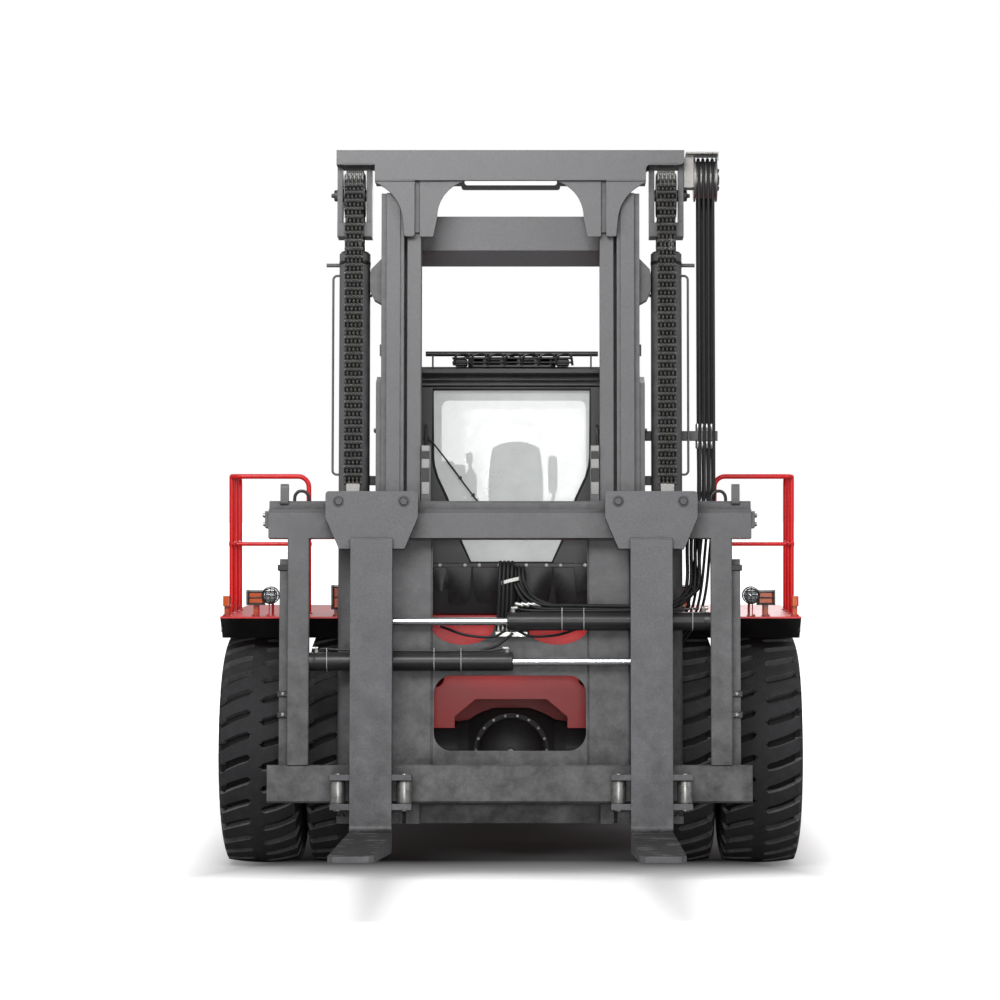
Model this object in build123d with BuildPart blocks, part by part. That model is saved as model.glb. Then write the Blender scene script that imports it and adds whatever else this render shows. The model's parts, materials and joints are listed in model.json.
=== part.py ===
from build123d import *
import math
import os

os.makedirs("parts", exist_ok=True)

# Counterbalance forklift of the heaviest class, in millimetres.
# +X is the driver's left, the forks point to -Y, +Z is up, and the ground is z = 0.
# A y value is measured back from the front axle. Mast pieces are drawn upright and then leaned
# back about the mast pivot.
SIDES = (("left", 1), ("right", -1))

# Whole truck
wheelbase = 5000
rear_overhang = 1300
frame_over_tyre = 40
platform_rise = 110
seat_gap = 0.3
sheet = 12

# Wheels
tyre_diameter = 1600
tyre_width = 560
tyre_bead_width = 440
tyre_bead_height = 45
tyre_tread_width = 500
tyre_crown = 22
rim_radius = 318
rim_wall = 24
rim_flange = 18
rim_flange_height = 34
wheel_disc = 40
hand_holes = 8
hand_hole_radius = 28
inner_tyre_x = 1132
dual_spacing = 598
hub_radius = 205
hub_cap = 140
stub_radius = 110
stub_fit = 0.08

# Drive axle
axle_tube_radius = 190
banjo_radius = 285
banjo_half_width = 110
dome_radius = 228
dome_depth = 390
brake_radius = 255
brake_x = (1150, 1290)

# Steering
kingpin_x = 920
rear_tyre_x = 1260
kingpin_radius = 45
knuckle_boss_radius = 100
knuckle_height = 260
steer_ear = 70
steer_beam_depth = 200
steer_beam_height = 200
spindle_radius = 90
wheel_clearance = 25

# Mast, upright, before it is leaned back
rest_tilt = 4.5
pivot_y = -560
pivot_z = 700
pivot_pin_radius = 60
mast_middle_y = -980
rail_bottom = 330
inner_rail_top = 4700
inner_rail_inner_x = 610
inner_rail_width = 92
inner_rail_depth = 230
inner_flange = 32
inner_web = 34
inner_tie = 24
rail_gap = 23
outer_rail_width = 119
outer_rail_depth = 260
outer_flange = 35
outer_web = 36
outer_backing = 36
roller_gap = 0.5

# Lift cylinders, chains and their sheaves
cylinder_gap = 80
barrel_radius = 106
barrel_bore = 88
gland = 60
gland_fit = 0.4
lift_rod_radius = 72
sheave_radius = 123
sheave_width = 130
sheave_plate = 36
sheave_pin_radius = 40
chain_width = 122
chain_thickness = 50
crosshead = 96
beam_depth = 208
beam_end_depth = 100
beam_wall = 36

# Carriage and forks
bar_front_y = -1280
bar_rear_y = -1125
upper_bar = (2248, 2445)
upper_beam_top = 2505
lower_bar = (471, 725)
bar_half_width = 1627
fork_places = {"left": 950, "right": -926}
fork_width = 280
shank_thickness = 130
shank_gap = 2
fork_length = 2400
fork_heel = 140
fork_tip = 38
fork_bottom = 140
fork_corner = 32
hook_half_width = 310
hook_top = 2556
hook_bottom = 2169
hook_seat = 0.4
positioner_y = -1212.3
positioner_radius = 62
positioner_wall = 18
positioner_rod = 27
positioner_lug = 100
upper_positioner_z = 1690
lower_positioner_z = 1419
post_inner_x = 1355
post_outer_x = 1490

# Tilt cylinders
tilt_x = 560
tilt_pin_y = 650
tilt_pin_z = 1330
tilt_eye_y = -710
tilt_eye_z = 1480
tilt_pin_radius = 40
tilt_barrel_radius = 75
tilt_rod_radius = 42

# Cab
cab_half_width = 720
cab_front_y = -120
cab_rear_y = 1560
cab_height = 1740
cab_wall = 60
door_front_y = 60
door_rear_y = 1060
door_gap = 6
hinge_x = 735
hinge_y = 54
hinge_radius = 13
hinge_heights = (250, 850, 1400)
hinge_length = 60
glass_thickness = 8
glass_gap = 0.5

# Bodywork
platform_half_width = 2000
platform_front_y = -620
platform_rear_y = 1735
hood_front_y = 1980
hood_half_width = 690
hood_height = 760
hood_wall = 40
hood_hinge_radius = 14
counterweight_half_width = 1340
counterweight_height = 350
spine_half_width = 240

# Worked-out places
wheel_radius = tyre_diameter / 2
axle_z = wheel_radius
frame_top = tyre_diameter + frame_over_tyre
platform_top = frame_top + platform_rise
rear_end = wheelbase + rear_overhang
steer_y = wheelbase
outer_rail_inner_x = inner_rail_inner_x + inner_rail_width + rail_gap
outer_web_x = outer_rail_inner_x + outer_rail_width
outer_side_x = outer_web_x + outer_backing
cylinder_x = outer_side_x + cylinder_gap + barrel_radius
outer_front_y = mast_middle_y - outer_rail_depth / 2
outer_rear_y = mast_middle_y + outer_rail_depth / 2
inner_front_y = mast_middle_y - inner_rail_depth / 2
inner_rear_y = mast_middle_y + inner_rail_depth / 2
beam_top = inner_rail_top + beam_depth
outer_rail_top = inner_rail_top - 80
sheave_z = inner_rail_top - 80
crosshead_bottom = inner_rail_top - 375
barrel_top = crosshead_bottom - 110
lean_sin = math.sin(math.radians(rest_tilt))
lean_cos = math.cos(math.radians(rest_tilt))
shank_back_y = bar_front_y - shank_gap
fork_face_y = shank_back_y - shank_thickness
tip_forward = pivot_y - (fork_face_y - fork_length)
tip_drop = pivot_z - fork_bottom
fork_reach = -pivot_y + tip_forward * lean_cos + tip_drop * lean_sin
overall_length = fork_reach + rear_end
front_axle_y = fork_reach - overall_length / 2
truck = Plane(origin=(0, front_axle_y, 0))
mast_pivot = Location((0, front_axle_y + pivot_y, pivot_z))
mast_lean = mast_pivot * Location((0, 0, 0), (-rest_tilt, 0, 0)) * mast_pivot.inverse()


def side_view(x):
    """A plane seen from the truck's side, whose points are (y, z)."""
    return Plane(origin=(x, front_axle_y, 0), x_dir=(0, 1, 0), z_dir=(1, 0, 0))


def front_view(y):
    """A plane seen from the front, whose points are (x, z), and which extrudes forwards."""
    return Plane(origin=(0, front_axle_y + y, 0), x_dir=(1, 0, 0), z_dir=(0, -1, 0))


def plan_view(z):
    """A level plane, whose points are (x, y)."""
    return Plane(origin=(0, front_axle_y, z))


def wheel_axis(y):
    """The line that a wheel at y turns about."""
    return Axis((0, front_axle_y + y, axle_z), (1, 0, 0))


def block(x_span, y_span, z_span, mode=Mode.ADD):
    """A plate or bar given by two values of x, y and z, in either order."""
    spans = (x_span, y_span, z_span)
    with Locations(tuple((first + last) / 2 for first, last in spans)):
        Box(*(abs(last - first) for first, last in spans), mode=mode)


def rod(start, end, radius, mode=Mode.ADD):
    """A round bar from one point to another."""
    first = Vector(start) + Vector(0, front_axle_y, 0)
    last = Vector(end) + Vector(0, front_axle_y, 0)
    with BuildSketch(Plane(origin=first, z_dir=last - first)) as section:
        Circle(radius)
    extrude(section.sketch, amount=(last - first).length, mode=mode)


def cross_rod(x_span, y, z, radius, mode=Mode.ADD):
    """A round bar that lies across the truck."""
    rod((x_span[0], y, z), (x_span[1], y, z), radius, mode=mode)


def plate(plane, points, thickness, mode=Mode.ADD):
    """A flat plate with straight edges, on one side of its plane."""
    with BuildSketch(plane) as outline:
        with BuildLine():
            Polyline(*points, close=True)
        make_face()
    extrude(outline.sketch, amount=thickness, mode=mode)


def rounded_box(plane, middle, size, radius, thickness, mode=Mode.ADD):
    """A box with four rounded edges, drawn on its plane."""
    with BuildSketch(plane) as outline:
        with Locations(middle):
            RectangleRounded(*size, radius)
    extrude(outline.sketch, amount=thickness, mode=mode)


def bent_tube(points, bend, radius):
    """A round tube along a path with rounded corners."""
    with BuildLine(truck) as path:
        FilletPolyline(*points, radius=bend)
    with BuildSketch(Plane(origin=path.line @ 0, z_dir=path.line % 0)) as section:
        Circle(radius)
    sweep(section.sketch, path=path.line)


def turned(points, y):
    """A solid turned about the axle at y, from points (x, radius)."""
    with BuildSketch(front_view(y)) as profile:
        with BuildLine():
            Polyline(*((x, axle_z + radius) for x, radius in points), close=True)
        make_face()
    revolve(profile.sketch, axis=wheel_axis(y))


# Chassis frame: side plates, front plate, cross members, and the spine out to the rear
side_plate_x = 665
side_plate = 40
side_face = side_plate_x + side_plate
frame_bottom = 560
lug_radius = 130
axle_seat = axle_z + 280
axle_pad = 260
chassis_rear_y = wheelbase - 1080
tail_y = chassis_rear_y - 720
front_plate_y = -420
front_plate = 30
front_plate_bottom = axle_z + 170
arch = ((390, front_plate_bottom - 1), (390, axle_z + 250), (245, axle_z + 370))
spine_bottom = frame_top - 490
spine_end = wheelbase + 1000
pin_boss_x = outer_side_x - 58
with BuildPart(truck) as chassis_frame:
    with BuildSketch(side_view(side_plate_x)) as side_outline:
        with BuildLine():
            lug_front = (pivot_y - lug_radius, pivot_z)
            lug_rear = (pivot_y + lug_radius, pivot_z)
            ThreePointArc(lug_front, (pivot_y, pivot_z - lug_radius), lug_rear)
            Polyline(
                lug_rear,
                (pivot_y + 230, axle_seat - 80),
                (-axle_pad, axle_seat),
                (axle_pad, axle_seat),
                (axle_pad + 160, axle_seat - 180),
                (axle_pad + 300, frame_bottom),
                (tail_y, frame_bottom),
                (chassis_rear_y - 220, axle_seat + 20),
                (chassis_rear_y, axle_seat + 170),
                (chassis_rear_y, frame_top),
                (front_plate_y, frame_top),
                (pivot_y - 40, frame_top - 290),
                (pivot_y - lug_radius, pivot_z + 300),
                lug_front,
            )
        make_face()
    extrude(amount=side_plate)
    mirror(about=Plane.YZ)
    with BuildSketch(front_view(front_plate_y + front_plate)) as front_outline:
        with Locations((0, (platform_top + front_plate_bottom) / 2)):
            Rectangle(2 * side_plate_x, platform_top - front_plate_bottom)
        with BuildLine():
            Polyline(*arch, *((-x, z) for x, z in reversed(arch)), close=True)
        make_face(mode=Mode.SUBTRACT)
        with Locations((-tilt_x, tilt_pin_z + 90), (tilt_x, tilt_pin_z + 90)):
            RectangleRounded(190, 330, 60, mode=Mode.SUBTRACT)
    extrude(amount=front_plate)
    between = (-side_plate_x, side_plate_x)
    block(between, (front_plate_y + 20, tilt_pin_y + 550), (frame_top - 20, frame_top))
    block(between, (1500, 1530), (700, frame_top))
    block(between, (1900, 1980), (frame_bottom, 700))
    block(between, (tail_y + 50, tail_y + 90), (700, 1250))
    block(between, (chassis_rear_y - 40, chassis_rear_y), (axle_seat + 170, frame_top))
    for x in (-spine_half_width, spine_half_width - side_plate):
        block((x, x + side_plate), (tail_y + 90, spine_end), (spine_bottom, frame_top))
    spine_x = (-spine_half_width, spine_half_width)
    block(spine_x, (tail_y + 90, spine_end), (frame_top - 30, frame_top))
    for y in (steer_y - 300, steer_y + 260):
        block(spine_x, (y, y + 40), (axle_z + 100, frame_top))
    for x in (-tilt_x, tilt_x):
        for wall in (-120, 80):
            cheek = (x + wall, x + wall + 40)
            block(cheek, (tilt_pin_y - 90, tilt_pin_y + 110), (tilt_pin_z - 100, frame_top))
        cross_rod((x - 100, x + 100), tilt_pin_y, tilt_pin_z, tilt_pin_radius)
    for side, sign in SIDES:
        cross_rod((sign * side_face, sign * pin_boss_x), pivot_y, pivot_z, pivot_pin_radius)
chassis_frame.part.label = "chassis_frame"
export_step(chassis_frame.part, "parts/chassis_frame.step")

# Drive axle: banjo housing with its dome, tubes, brake housings, hub stubs and frame pads
stub_end = inner_tyre_x + dual_spacing - 90
with BuildPart(truck) as drive_axle:
    with BuildSketch(front_view(0)) as axle_profile:
        with BuildLine():
            crown = (banjo_half_width, axle_z + banjo_radius)
            throat = (banjo_half_width + 190, axle_z + axle_tube_radius + 12)
            Polyline((0, axle_z), (0, axle_z + banjo_radius), crown)
            ThreePointArc(crown, (banjo_half_width + 115, axle_z + banjo_radius - 38), throat)
            Polyline(
                throat,
                (banjo_half_width + 270, axle_z + axle_tube_radius),
                (brake_x[0], axle_z + axle_tube_radius),
                (brake_x[0], axle_z + brake_radius),
                (brake_x[1], axle_z + brake_radius),
                (brake_x[1], axle_z + stub_radius),
                (stub_end, axle_z + stub_radius),
                (stub_end, axle_z),
                (0, axle_z),
            )
        make_face()
    revolve(axis=wheel_axis(0))
    mirror(about=Plane.YZ)
    with BuildSketch(side_view(0)) as dome_profile:
        with BuildLine():
            flange_y = -banjo_radius + 50
            Polyline(
                (0, axle_z),
                (0, axle_z + dome_radius + 34),
                (flange_y, axle_z + dome_radius + 34),
                (flange_y, axle_z + dome_radius),
            )
            rise = dome_depth + flange_y
            ThreePointArc(
                (flange_y, axle_z + dome_radius),
                (flange_y - 0.72 * rise, axle_z + 0.7 * dome_radius),
                (-dome_depth, axle_z),
            )
            Line((-dome_depth, axle_z), (0, axle_z))
        make_face()
    revolve(dome_profile.sketch, axis=Axis((0, front_axle_y, axle_z), (0, 1, 0)))
    for side, sign in SIDES:
        pad = (sign * (side_plate_x - 40), sign * (side_plate_x + 80))
        block(pad, (30 - axle_pad, axle_pad - 30), (axle_z, axle_seat))
drive_axle.part.label = "drive_axle"
export_step(drive_axle.part, "parts/drive_axle.step")


def tyre(x, y):
    """A solid tyre body whose outside is the tops of its lugs."""
    bead = axle_z + rim_radius
    shoulder = axle_z + wheel_radius - tyre_crown
    half_bead = tyre_bead_width / 2
    half_tread = tyre_tread_width / 2
    bulge = (bead + shoulder) / 2 + 20
    with BuildSketch(front_view(y)) as profile:
        with BuildLine():
            Polyline((x - half_bead, bead + tyre_bead_height), (x - half_bead, bead), (x + half_bead, bead))
            Line((x + half_bead, bead), (x + half_bead, bead + tyre_bead_height))
            right_wall = ((x + half_bead, bead + tyre_bead_height), (x + tyre_width / 2, bulge))
            ThreePointArc(*right_wall, (x + half_tread, shoulder))
            ThreePointArc((x + half_tread, shoulder), (x, axle_z + wheel_radius), (x - half_tread, shoulder))
            left_wall = ((x - tyre_width / 2, bulge), (x - half_bead, bead + tyre_bead_height))
            ThreePointArc((x - half_tread, shoulder), *left_wall)
        make_face()
    revolve(profile.sketch, axis=wheel_axis(y))


def rim(x, y):
    """A rim with a flange against each bead of its tyre."""
    seat = rim_radius - seat_gap
    lip = tyre_bead_width / 2 + seat_gap
    outside = ((lip + rim_flange, rim_radius - rim_wall), (lip + rim_flange, rim_radius + rim_flange_height))
    inside = ((lip, rim_radius + rim_flange_height), (lip, seat))
    half = (*outside, *inside)
    turned((*((x + a, b) for a, b in half), *((x - a, b) for a, b in reversed(half))), y)


def hand_hole_ring(x, y, radius):
    """Holes through the wheel disc, spaced round it."""
    with BuildSketch(Plane(origin=(x, front_axle_y + y, axle_z), z_dir=(1, 0, 0))) as holes:
        with PolarLocations(radius, hand_holes):
            Circle(hand_hole_radius)
    extrude(holes.sketch, amount=wheel_disc, both=True, mode=Mode.SUBTRACT)


# Front wheels, two tyres each side, and their rims on one hub
outer_tyre_x = inner_tyre_x + dual_spacing
dual_middle = (inner_tyre_x + outer_tyre_x) / 2
rim_lip = tyre_bead_width / 2 + rim_flange
rim_inside = rim_radius - rim_wall
disc_hole_radius = (rim_inside + hub_radius) / 2
for side, sign in SIDES:
    with BuildPart(truck) as front_tyres:
        tyre(sign * inner_tyre_x, 0)
        tyre(sign * outer_tyre_x, 0)
    front_tyres.part.label = f"front_tyres_{side}"
    export_step(front_tyres.part, f"parts/front_tyres_{side}.step")

    with BuildPart(truck) as front_rims:
        rim(sign * inner_tyre_x, 0)
        rim(sign * outer_tyre_x, 0)
        bore = stub_radius + stub_fit
        hub_profile = (
            (inner_tyre_x + rim_lip - 40, rim_inside + 1),
            (outer_tyre_x - rim_lip + 40, rim_inside + 1),
            (outer_tyre_x - rim_lip + 40, rim_inside - 30),
            (dual_middle + wheel_disc / 2, rim_inside - 30),
            (dual_middle + wheel_disc / 2, hub_radius),
            (stub_end, hub_radius),
            (stub_end + seat_gap, hub_radius - 25),
            (stub_end + hub_cap, hub_radius - 45),
            (stub_end + hub_cap, 0),
            (stub_end + seat_gap, 0),
            (stub_end + seat_gap, bore),
            (brake_x[1] + 10, bore),
            (brake_x[1] + 10, hub_radius),
            (dual_middle - wheel_disc / 2, hub_radius),
            (dual_middle - wheel_disc / 2, rim_inside - 30),
            (inner_tyre_x + rim_lip - 40, rim_inside - 30),
        )
        turned(tuple((sign * x, radius) for x, radius in hub_profile), 0)
        hand_hole_ring(sign * dual_middle, 0, disc_hole_radius)
    front_rims.part.label = f"front_rims_{side}"
    export_step(front_rims.part, f"parts/front_rims_{side}.step")

# Steer axle: tapered beam, kingpin ears, steering cylinder and the pins it rocks on
ear_inner = knuckle_height / 2
ear_outer = ear_inner + steer_ear
ear_root_x = kingpin_x - 200
half_beam = steer_beam_depth / 2
with BuildPart(truck) as steer_axle:
    beam_outline = (
        (-ear_root_x, axle_z - steer_beam_height / 2),
        (-300, axle_z - steer_beam_height / 2 - 40),
        (300, axle_z - steer_beam_height / 2 - 40),
        (ear_root_x, axle_z - steer_beam_height / 2),
        (ear_root_x, axle_z + steer_beam_height / 2),
        (300, axle_z + steer_beam_height / 2 + 40),
        (-300, axle_z + steer_beam_height / 2 + 40),
        (-ear_root_x, axle_z + steer_beam_height / 2),
    )
    plate(front_view(steer_y + half_beam), beam_outline, steer_beam_depth)
    for side, sign in SIDES:
        for edge in (-1, 1):
            levels = (axle_z + edge * (ear_inner + 1), axle_z + edge * ear_outer)
            root = (sign * ear_root_x, sign * kingpin_x)
            block(root, (steer_y - knuckle_boss_radius, steer_y + knuckle_boss_radius), levels)
            pin_line = tuple((sign * kingpin_x, steer_y, z) for z in levels)
            rod(*pin_line, knuckle_boss_radius)
            hole_levels = (levels[0] - edge, levels[1] + edge)
            hole_line = tuple((sign * kingpin_x, steer_y, z) for z in hole_levels)
            rod(*hole_line, kingpin_radius + stub_fit, mode=Mode.SUBTRACT)
        web = (sign * (ear_root_x - 30), sign * (ear_root_x + 50))
        block(web, (steer_y - half_beam, steer_y + half_beam), (axle_z - ear_outer, axle_z + ear_outer))
    rod((0, steer_y - 260, axle_z + 60), (0, steer_y + 260, axle_z + 60), 110)
    cross_rod((-420, 420), steer_y + 190, axle_z, 70)
    block((-300, 300), (steer_y + half_beam - 20, steer_y + 190), (axle_z - 40, axle_z + 40))
steer_axle.part.label = "steer_axle"
export_step(steer_axle.part, "parts/steer_axle.step")

# Steering knuckles and rear wheels
spindle_root = kingpin_x + 200
spindle_end = rear_tyre_x + 160
rear_disc_x = rear_tyre_x + 120
for side, sign in SIDES:
    with BuildPart(truck) as knuckle:
        kingpin = (sign * kingpin_x, steer_y)
        rod((*kingpin, axle_z - ear_inner), (*kingpin, axle_z + ear_inner), knuckle_boss_radius - 5)
        rod((*kingpin, axle_z - ear_outer - sheet), (*kingpin, axle_z + ear_outer + sheet), kingpin_radius)
        cross_rod((sign * kingpin_x, sign * spindle_root), steer_y, axle_z, spindle_radius + 28)
        cross_rod((sign * (spindle_root - 10), sign * spindle_end), steer_y, axle_z, spindle_radius)
    knuckle.part.label = f"steer_knuckle_{side}"
    export_step(knuckle.part, f"parts/steer_knuckle_{side}.step")

    with BuildPart(truck) as rear_tyre:
        tyre(sign * rear_tyre_x, steer_y)
    rear_tyre.part.label = f"rear_tyre_{side}"
    export_step(rear_tyre.part, f"parts/rear_tyre_{side}.step")

    with BuildPart(truck) as rear_rim:
        rim(sign * rear_tyre_x, steer_y)
        spindle_bore = spindle_radius + stub_fit
        rear_hub = (
            (rear_disc_x - wheel_disc / 2, rim_inside + 1),
            (rear_disc_x + wheel_disc / 2, rim_inside + 1),
            (rear_disc_x + wheel_disc / 2, hub_radius - 40),
            (spindle_end, hub_radius - 40),
            (spindle_end + 80, hub_radius - 60),
            (spindle_end + 80, 0),
            (spindle_end + seat_gap, 0),
            (spindle_end + seat_gap, spindle_bore),
            (spindle_root + 6, spindle_bore),
            (spindle_root + 6, hub_radius - 40),
            (rear_disc_x - wheel_disc / 2, hub_radius - 40),
        )
        turned(tuple((sign * x, radius) for x, radius in rear_hub), steer_y)
        hand_hole_ring(sign * rear_disc_x, steer_y, disc_hole_radius - 15)
    rear_rim.part.label = f"rear_rim_{side}"
    export_step(rear_rim.part, f"parts/rear_rim_{side}.step")

# Counterweight, with an arch for each steered wheel, a towing jaw and its pin
wheel_swing = math.hypot(rear_tyre_x - kingpin_x + tyre_width / 2, wheel_radius) + wheel_clearance
arch_top = tyre_diameter + 50
weight_bottom = 700
weight_top = frame_top + counterweight_height
weight_front_y = wheelbase - 610
rear_slab_y = rear_end - 480
towing_z = (weight_bottom + 65, weight_bottom + 165)
with BuildPart(truck) as counterweight:
    with BuildSketch(side_view(-counterweight_half_width)) as weight_outline:
        with BuildLine():
            Polyline(
                (weight_front_y, frame_top + seat_gap),
                (weight_front_y, weight_top - 90),
                (weight_front_y + 90, weight_top),
                (rear_end - 420, weight_top),
            )
            shoulder = (rear_end - 120, weight_top - 110)
            ThreePointArc((rear_end - 420, weight_top), shoulder, (rear_end, weight_top - 430))
            Polyline(
                (rear_end, weight_top - 430),
                (rear_end, weight_bottom + 280),
                (rear_end - 140, weight_bottom),
                (rear_slab_y, weight_bottom),
                (rear_slab_y, frame_top + seat_gap),
                (weight_front_y, frame_top + seat_gap),
            )
        make_face()
    extrude(amount=2 * counterweight_half_width)
    fillet(counterweight.edges().filter_by(Axis.Z).sort_by(Axis.Y)[-2:], radius=160)
    spine_room = (-spine_half_width - 5, spine_half_width + 5)
    spine_y = (rear_slab_y - 1, spine_end + 10)
    block(spine_room, spine_y, (weight_bottom - 1, frame_top + seat_gap), Mode.SUBTRACT)
    for side, sign in SIDES:
        kingpin = (sign * kingpin_x, steer_y)
        rod((*kingpin, weight_bottom - 100), (*kingpin, arch_top), wheel_swing, mode=Mode.SUBTRACT)
    block((-110, 110), (rear_end - 260, rear_end + 1), towing_z, Mode.SUBTRACT)
    towing_line = tuple((0, rear_end - 170, z) for z in (towing_z[0] - 5, towing_z[1] + 5))
    rod(*towing_line, 25)
counterweight.part.label = "counterweight"
export_step(counterweight.part, "parts/counterweight.step")

# Engine
with BuildPart(truck) as engine_block:
    block((-360, 360), (2150, 3230), (1180, 2080))
    mount_half = side_plate_x - seat_gap
    block((-mount_half, mount_half), (2400, 2500), (1250, 1330))
engine_block.part.label = "engine_block"
export_step(engine_block.part, "parts/engine_block.step")

# Radiator cowl with its grille, and the hood hinged to it
cowl_front_y = weight_front_y - 640
cowl_rear_y = weight_front_y - 10
hood_top = frame_top + hood_height
hood_rear_y = cowl_front_y - 10
hood_hinge_y = cowl_front_y - 5
hood_hinge_z = hood_top + 20
hood_knuckle = 60
grille_half = hood_half_width - 150
grille_bottom = weight_top - 30
slats = 7
slat_pitch = (hood_top - 60 - grille_bottom) / slats
with BuildPart(truck) as radiator_cowl:
    block((-hood_half_width, hood_half_width), (cowl_front_y, cowl_rear_y), (frame_top, hood_top))
    top_corners = radiator_cowl.edges().filter_by(Axis.Y).sort_by(Axis.Z)[-2:]
    fillet(top_corners, radius=50)
    grille_z = (grille_bottom, hood_top - 60)
    block((-grille_half, grille_half), (cowl_rear_y - 30, cowl_rear_y + 1), grille_z, Mode.SUBTRACT)
    for slat in range(slats):
        z = grille_bottom + (slat + 0.5) * slat_pitch
        inside = (cowl_rear_y - 29, z)
        outside = (cowl_rear_y - 2, z - 16)
        leaning_slat = (inside, outside, (outside[0], z - 6), (inside[0], z + 10))
        plate(side_view(-grille_half - 1), leaning_slat, 2 * grille_half + 2)
    for x in (-420, 300):
        cross_rod((x, x + hood_knuckle), hood_hinge_y, hood_hinge_z, hood_hinge_radius)
        block((x, x + hood_knuckle), (hood_hinge_y, hood_hinge_y + 60), (hood_top - 1, hood_hinge_z))
radiator_cowl.part.label = "radiator_cowl"
export_step(radiator_cowl.part, "parts/radiator_cowl.step")

louvres = 9
louvre_pitch = 110
with BuildPart(truck) as engine_hood:
    hood_bottom = frame_top + seat_gap
    hood_outline = (
        (hood_front_y, hood_bottom),
        (hood_front_y, hood_top - 160),
        (hood_front_y + 140, hood_top),
        (hood_rear_y, hood_top),
        (hood_rear_y, hood_bottom),
    )
    plate(side_view(-hood_half_width), hood_outline, 2 * hood_half_width)
    long_edges = engine_hood.edges().filter_by(Axis.Y).sort_by(Axis.Z)[-2:]
    fillet(long_edges, radius=50)
    hollow_outline = (
        (hood_front_y + hood_wall, hood_bottom - 1),
        (hood_front_y + hood_wall, hood_top - 160 - hood_wall / 2),
        (hood_front_y + 140 + hood_wall / 2, hood_top - hood_wall),
        (hood_rear_y + 1, hood_top - hood_wall),
        (hood_rear_y + 1, hood_bottom - 1),
    )
    hollow_half = hood_half_width - hood_wall
    plate(side_view(-hollow_half), hollow_outline, 2 * hollow_half, Mode.SUBTRACT)
    for louvre in range(louvres):
        y = hood_front_y + 330 + louvre * louvre_pitch
        for side, sign in SIDES:
            face = sign * hood_half_width
            wedge = ((face - sign, y), (face, y), (face + sign * 14, y + 60), (face - sign, y + 60))
            plate(plan_view(hood_top - 420), wedge, 260)
    for x in (-420 - hood_knuckle - seat_gap, 300 - hood_knuckle - seat_gap):
        cross_rod((x, x + hood_knuckle), hood_hinge_y, hood_hinge_z, hood_hinge_radius)
        block((x, x + hood_knuckle), (hood_hinge_y - 60, hood_hinge_y), (hood_top - 1, hood_hinge_z))
engine_hood.part.label = "engine_hood"
export_step(engine_hood.part, "parts/engine_hood.step")

# Tanks with their straps, hung on the side plates
tank_width = 695
tank_height = 840
tank_y = (1750, tail_y - 50)
strap = 8
strap_width = 60
tank_middle_x = side_face + seat_gap + strap + tank_width / 2
tank_middle_z = frame_top - 80 - tank_height / 2
for name, sign in (("fuel_tank", 1), ("hydraulic_tank", -1)):
    with BuildPart(truck) as tank:
        middle = (sign * tank_middle_x, tank_middle_z)
        length = tank_y[1] - tank_y[0]
        rounded_box(front_view(tank_y[1]), middle, (tank_width, tank_height), 70, length)
        for y in (tank_y[0] + 250, tank_y[1] - 250):
            strap_size = (tank_width + 2 * strap, tank_height + 2 * strap)
            rounded_box(front_view(y), middle, strap_size, 70 + strap, strap_width)
        filler = (sign * (tank_middle_x + 180), tank_y[0] + 120)
        rod((*filler, tank_middle_z), (*filler, frame_top - 20), 60)
    tank.part.label = name
    export_step(tank.part, f"parts/{name}.step")

# Platforms over the front wheels, with the sloping apron and the walkway beside the cab
platform_step = 905
apron_drop = 142
apron_back = 190
skirt_drop = 110
joist_width = 60
for side, sign in SIDES:
    with BuildPart(truck) as platform:
        outer_edge = sign * platform_half_width
        deck = (platform_top - sheet, platform_top)
        block((sign * platform_step, outer_edge), (platform_front_y, platform_rear_y), deck)
        block((sign * (side_plate_x - 20), sign * platform_step), (0, platform_rear_y), deck)
        apron = (
            (platform_front_y, platform_top - 1),
            (platform_front_y + apron_back, platform_top - apron_drop - sheet),
            (platform_front_y + apron_back + 1.2 * sheet, platform_top - apron_drop - sheet),
            (platform_front_y + 1.5 * sheet, platform_top - 1),
        )
        apron_x = sorted((sign * platform_step, outer_edge))
        plate(side_view(apron_x[0]), apron, apron_x[1] - apron_x[0])
        skirt = (outer_edge - sign * sheet, outer_edge)
        skirt_front = platform_front_y + apron_back / 2
        block(skirt, (skirt_front, platform_rear_y), (platform_top - skirt_drop, platform_top))
        joist = (sign * (side_plate_x + 5), outer_edge - sign * sheet)
        for y in (10, 900, platform_rear_y - 85):
            block(joist, (y, y + joist_width), (frame_top + seat_gap, platform_top - sheet))
    platform.part.label = f"platform_{side}"
    export_step(platform.part, f"parts/platform_{side}.step")

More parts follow.
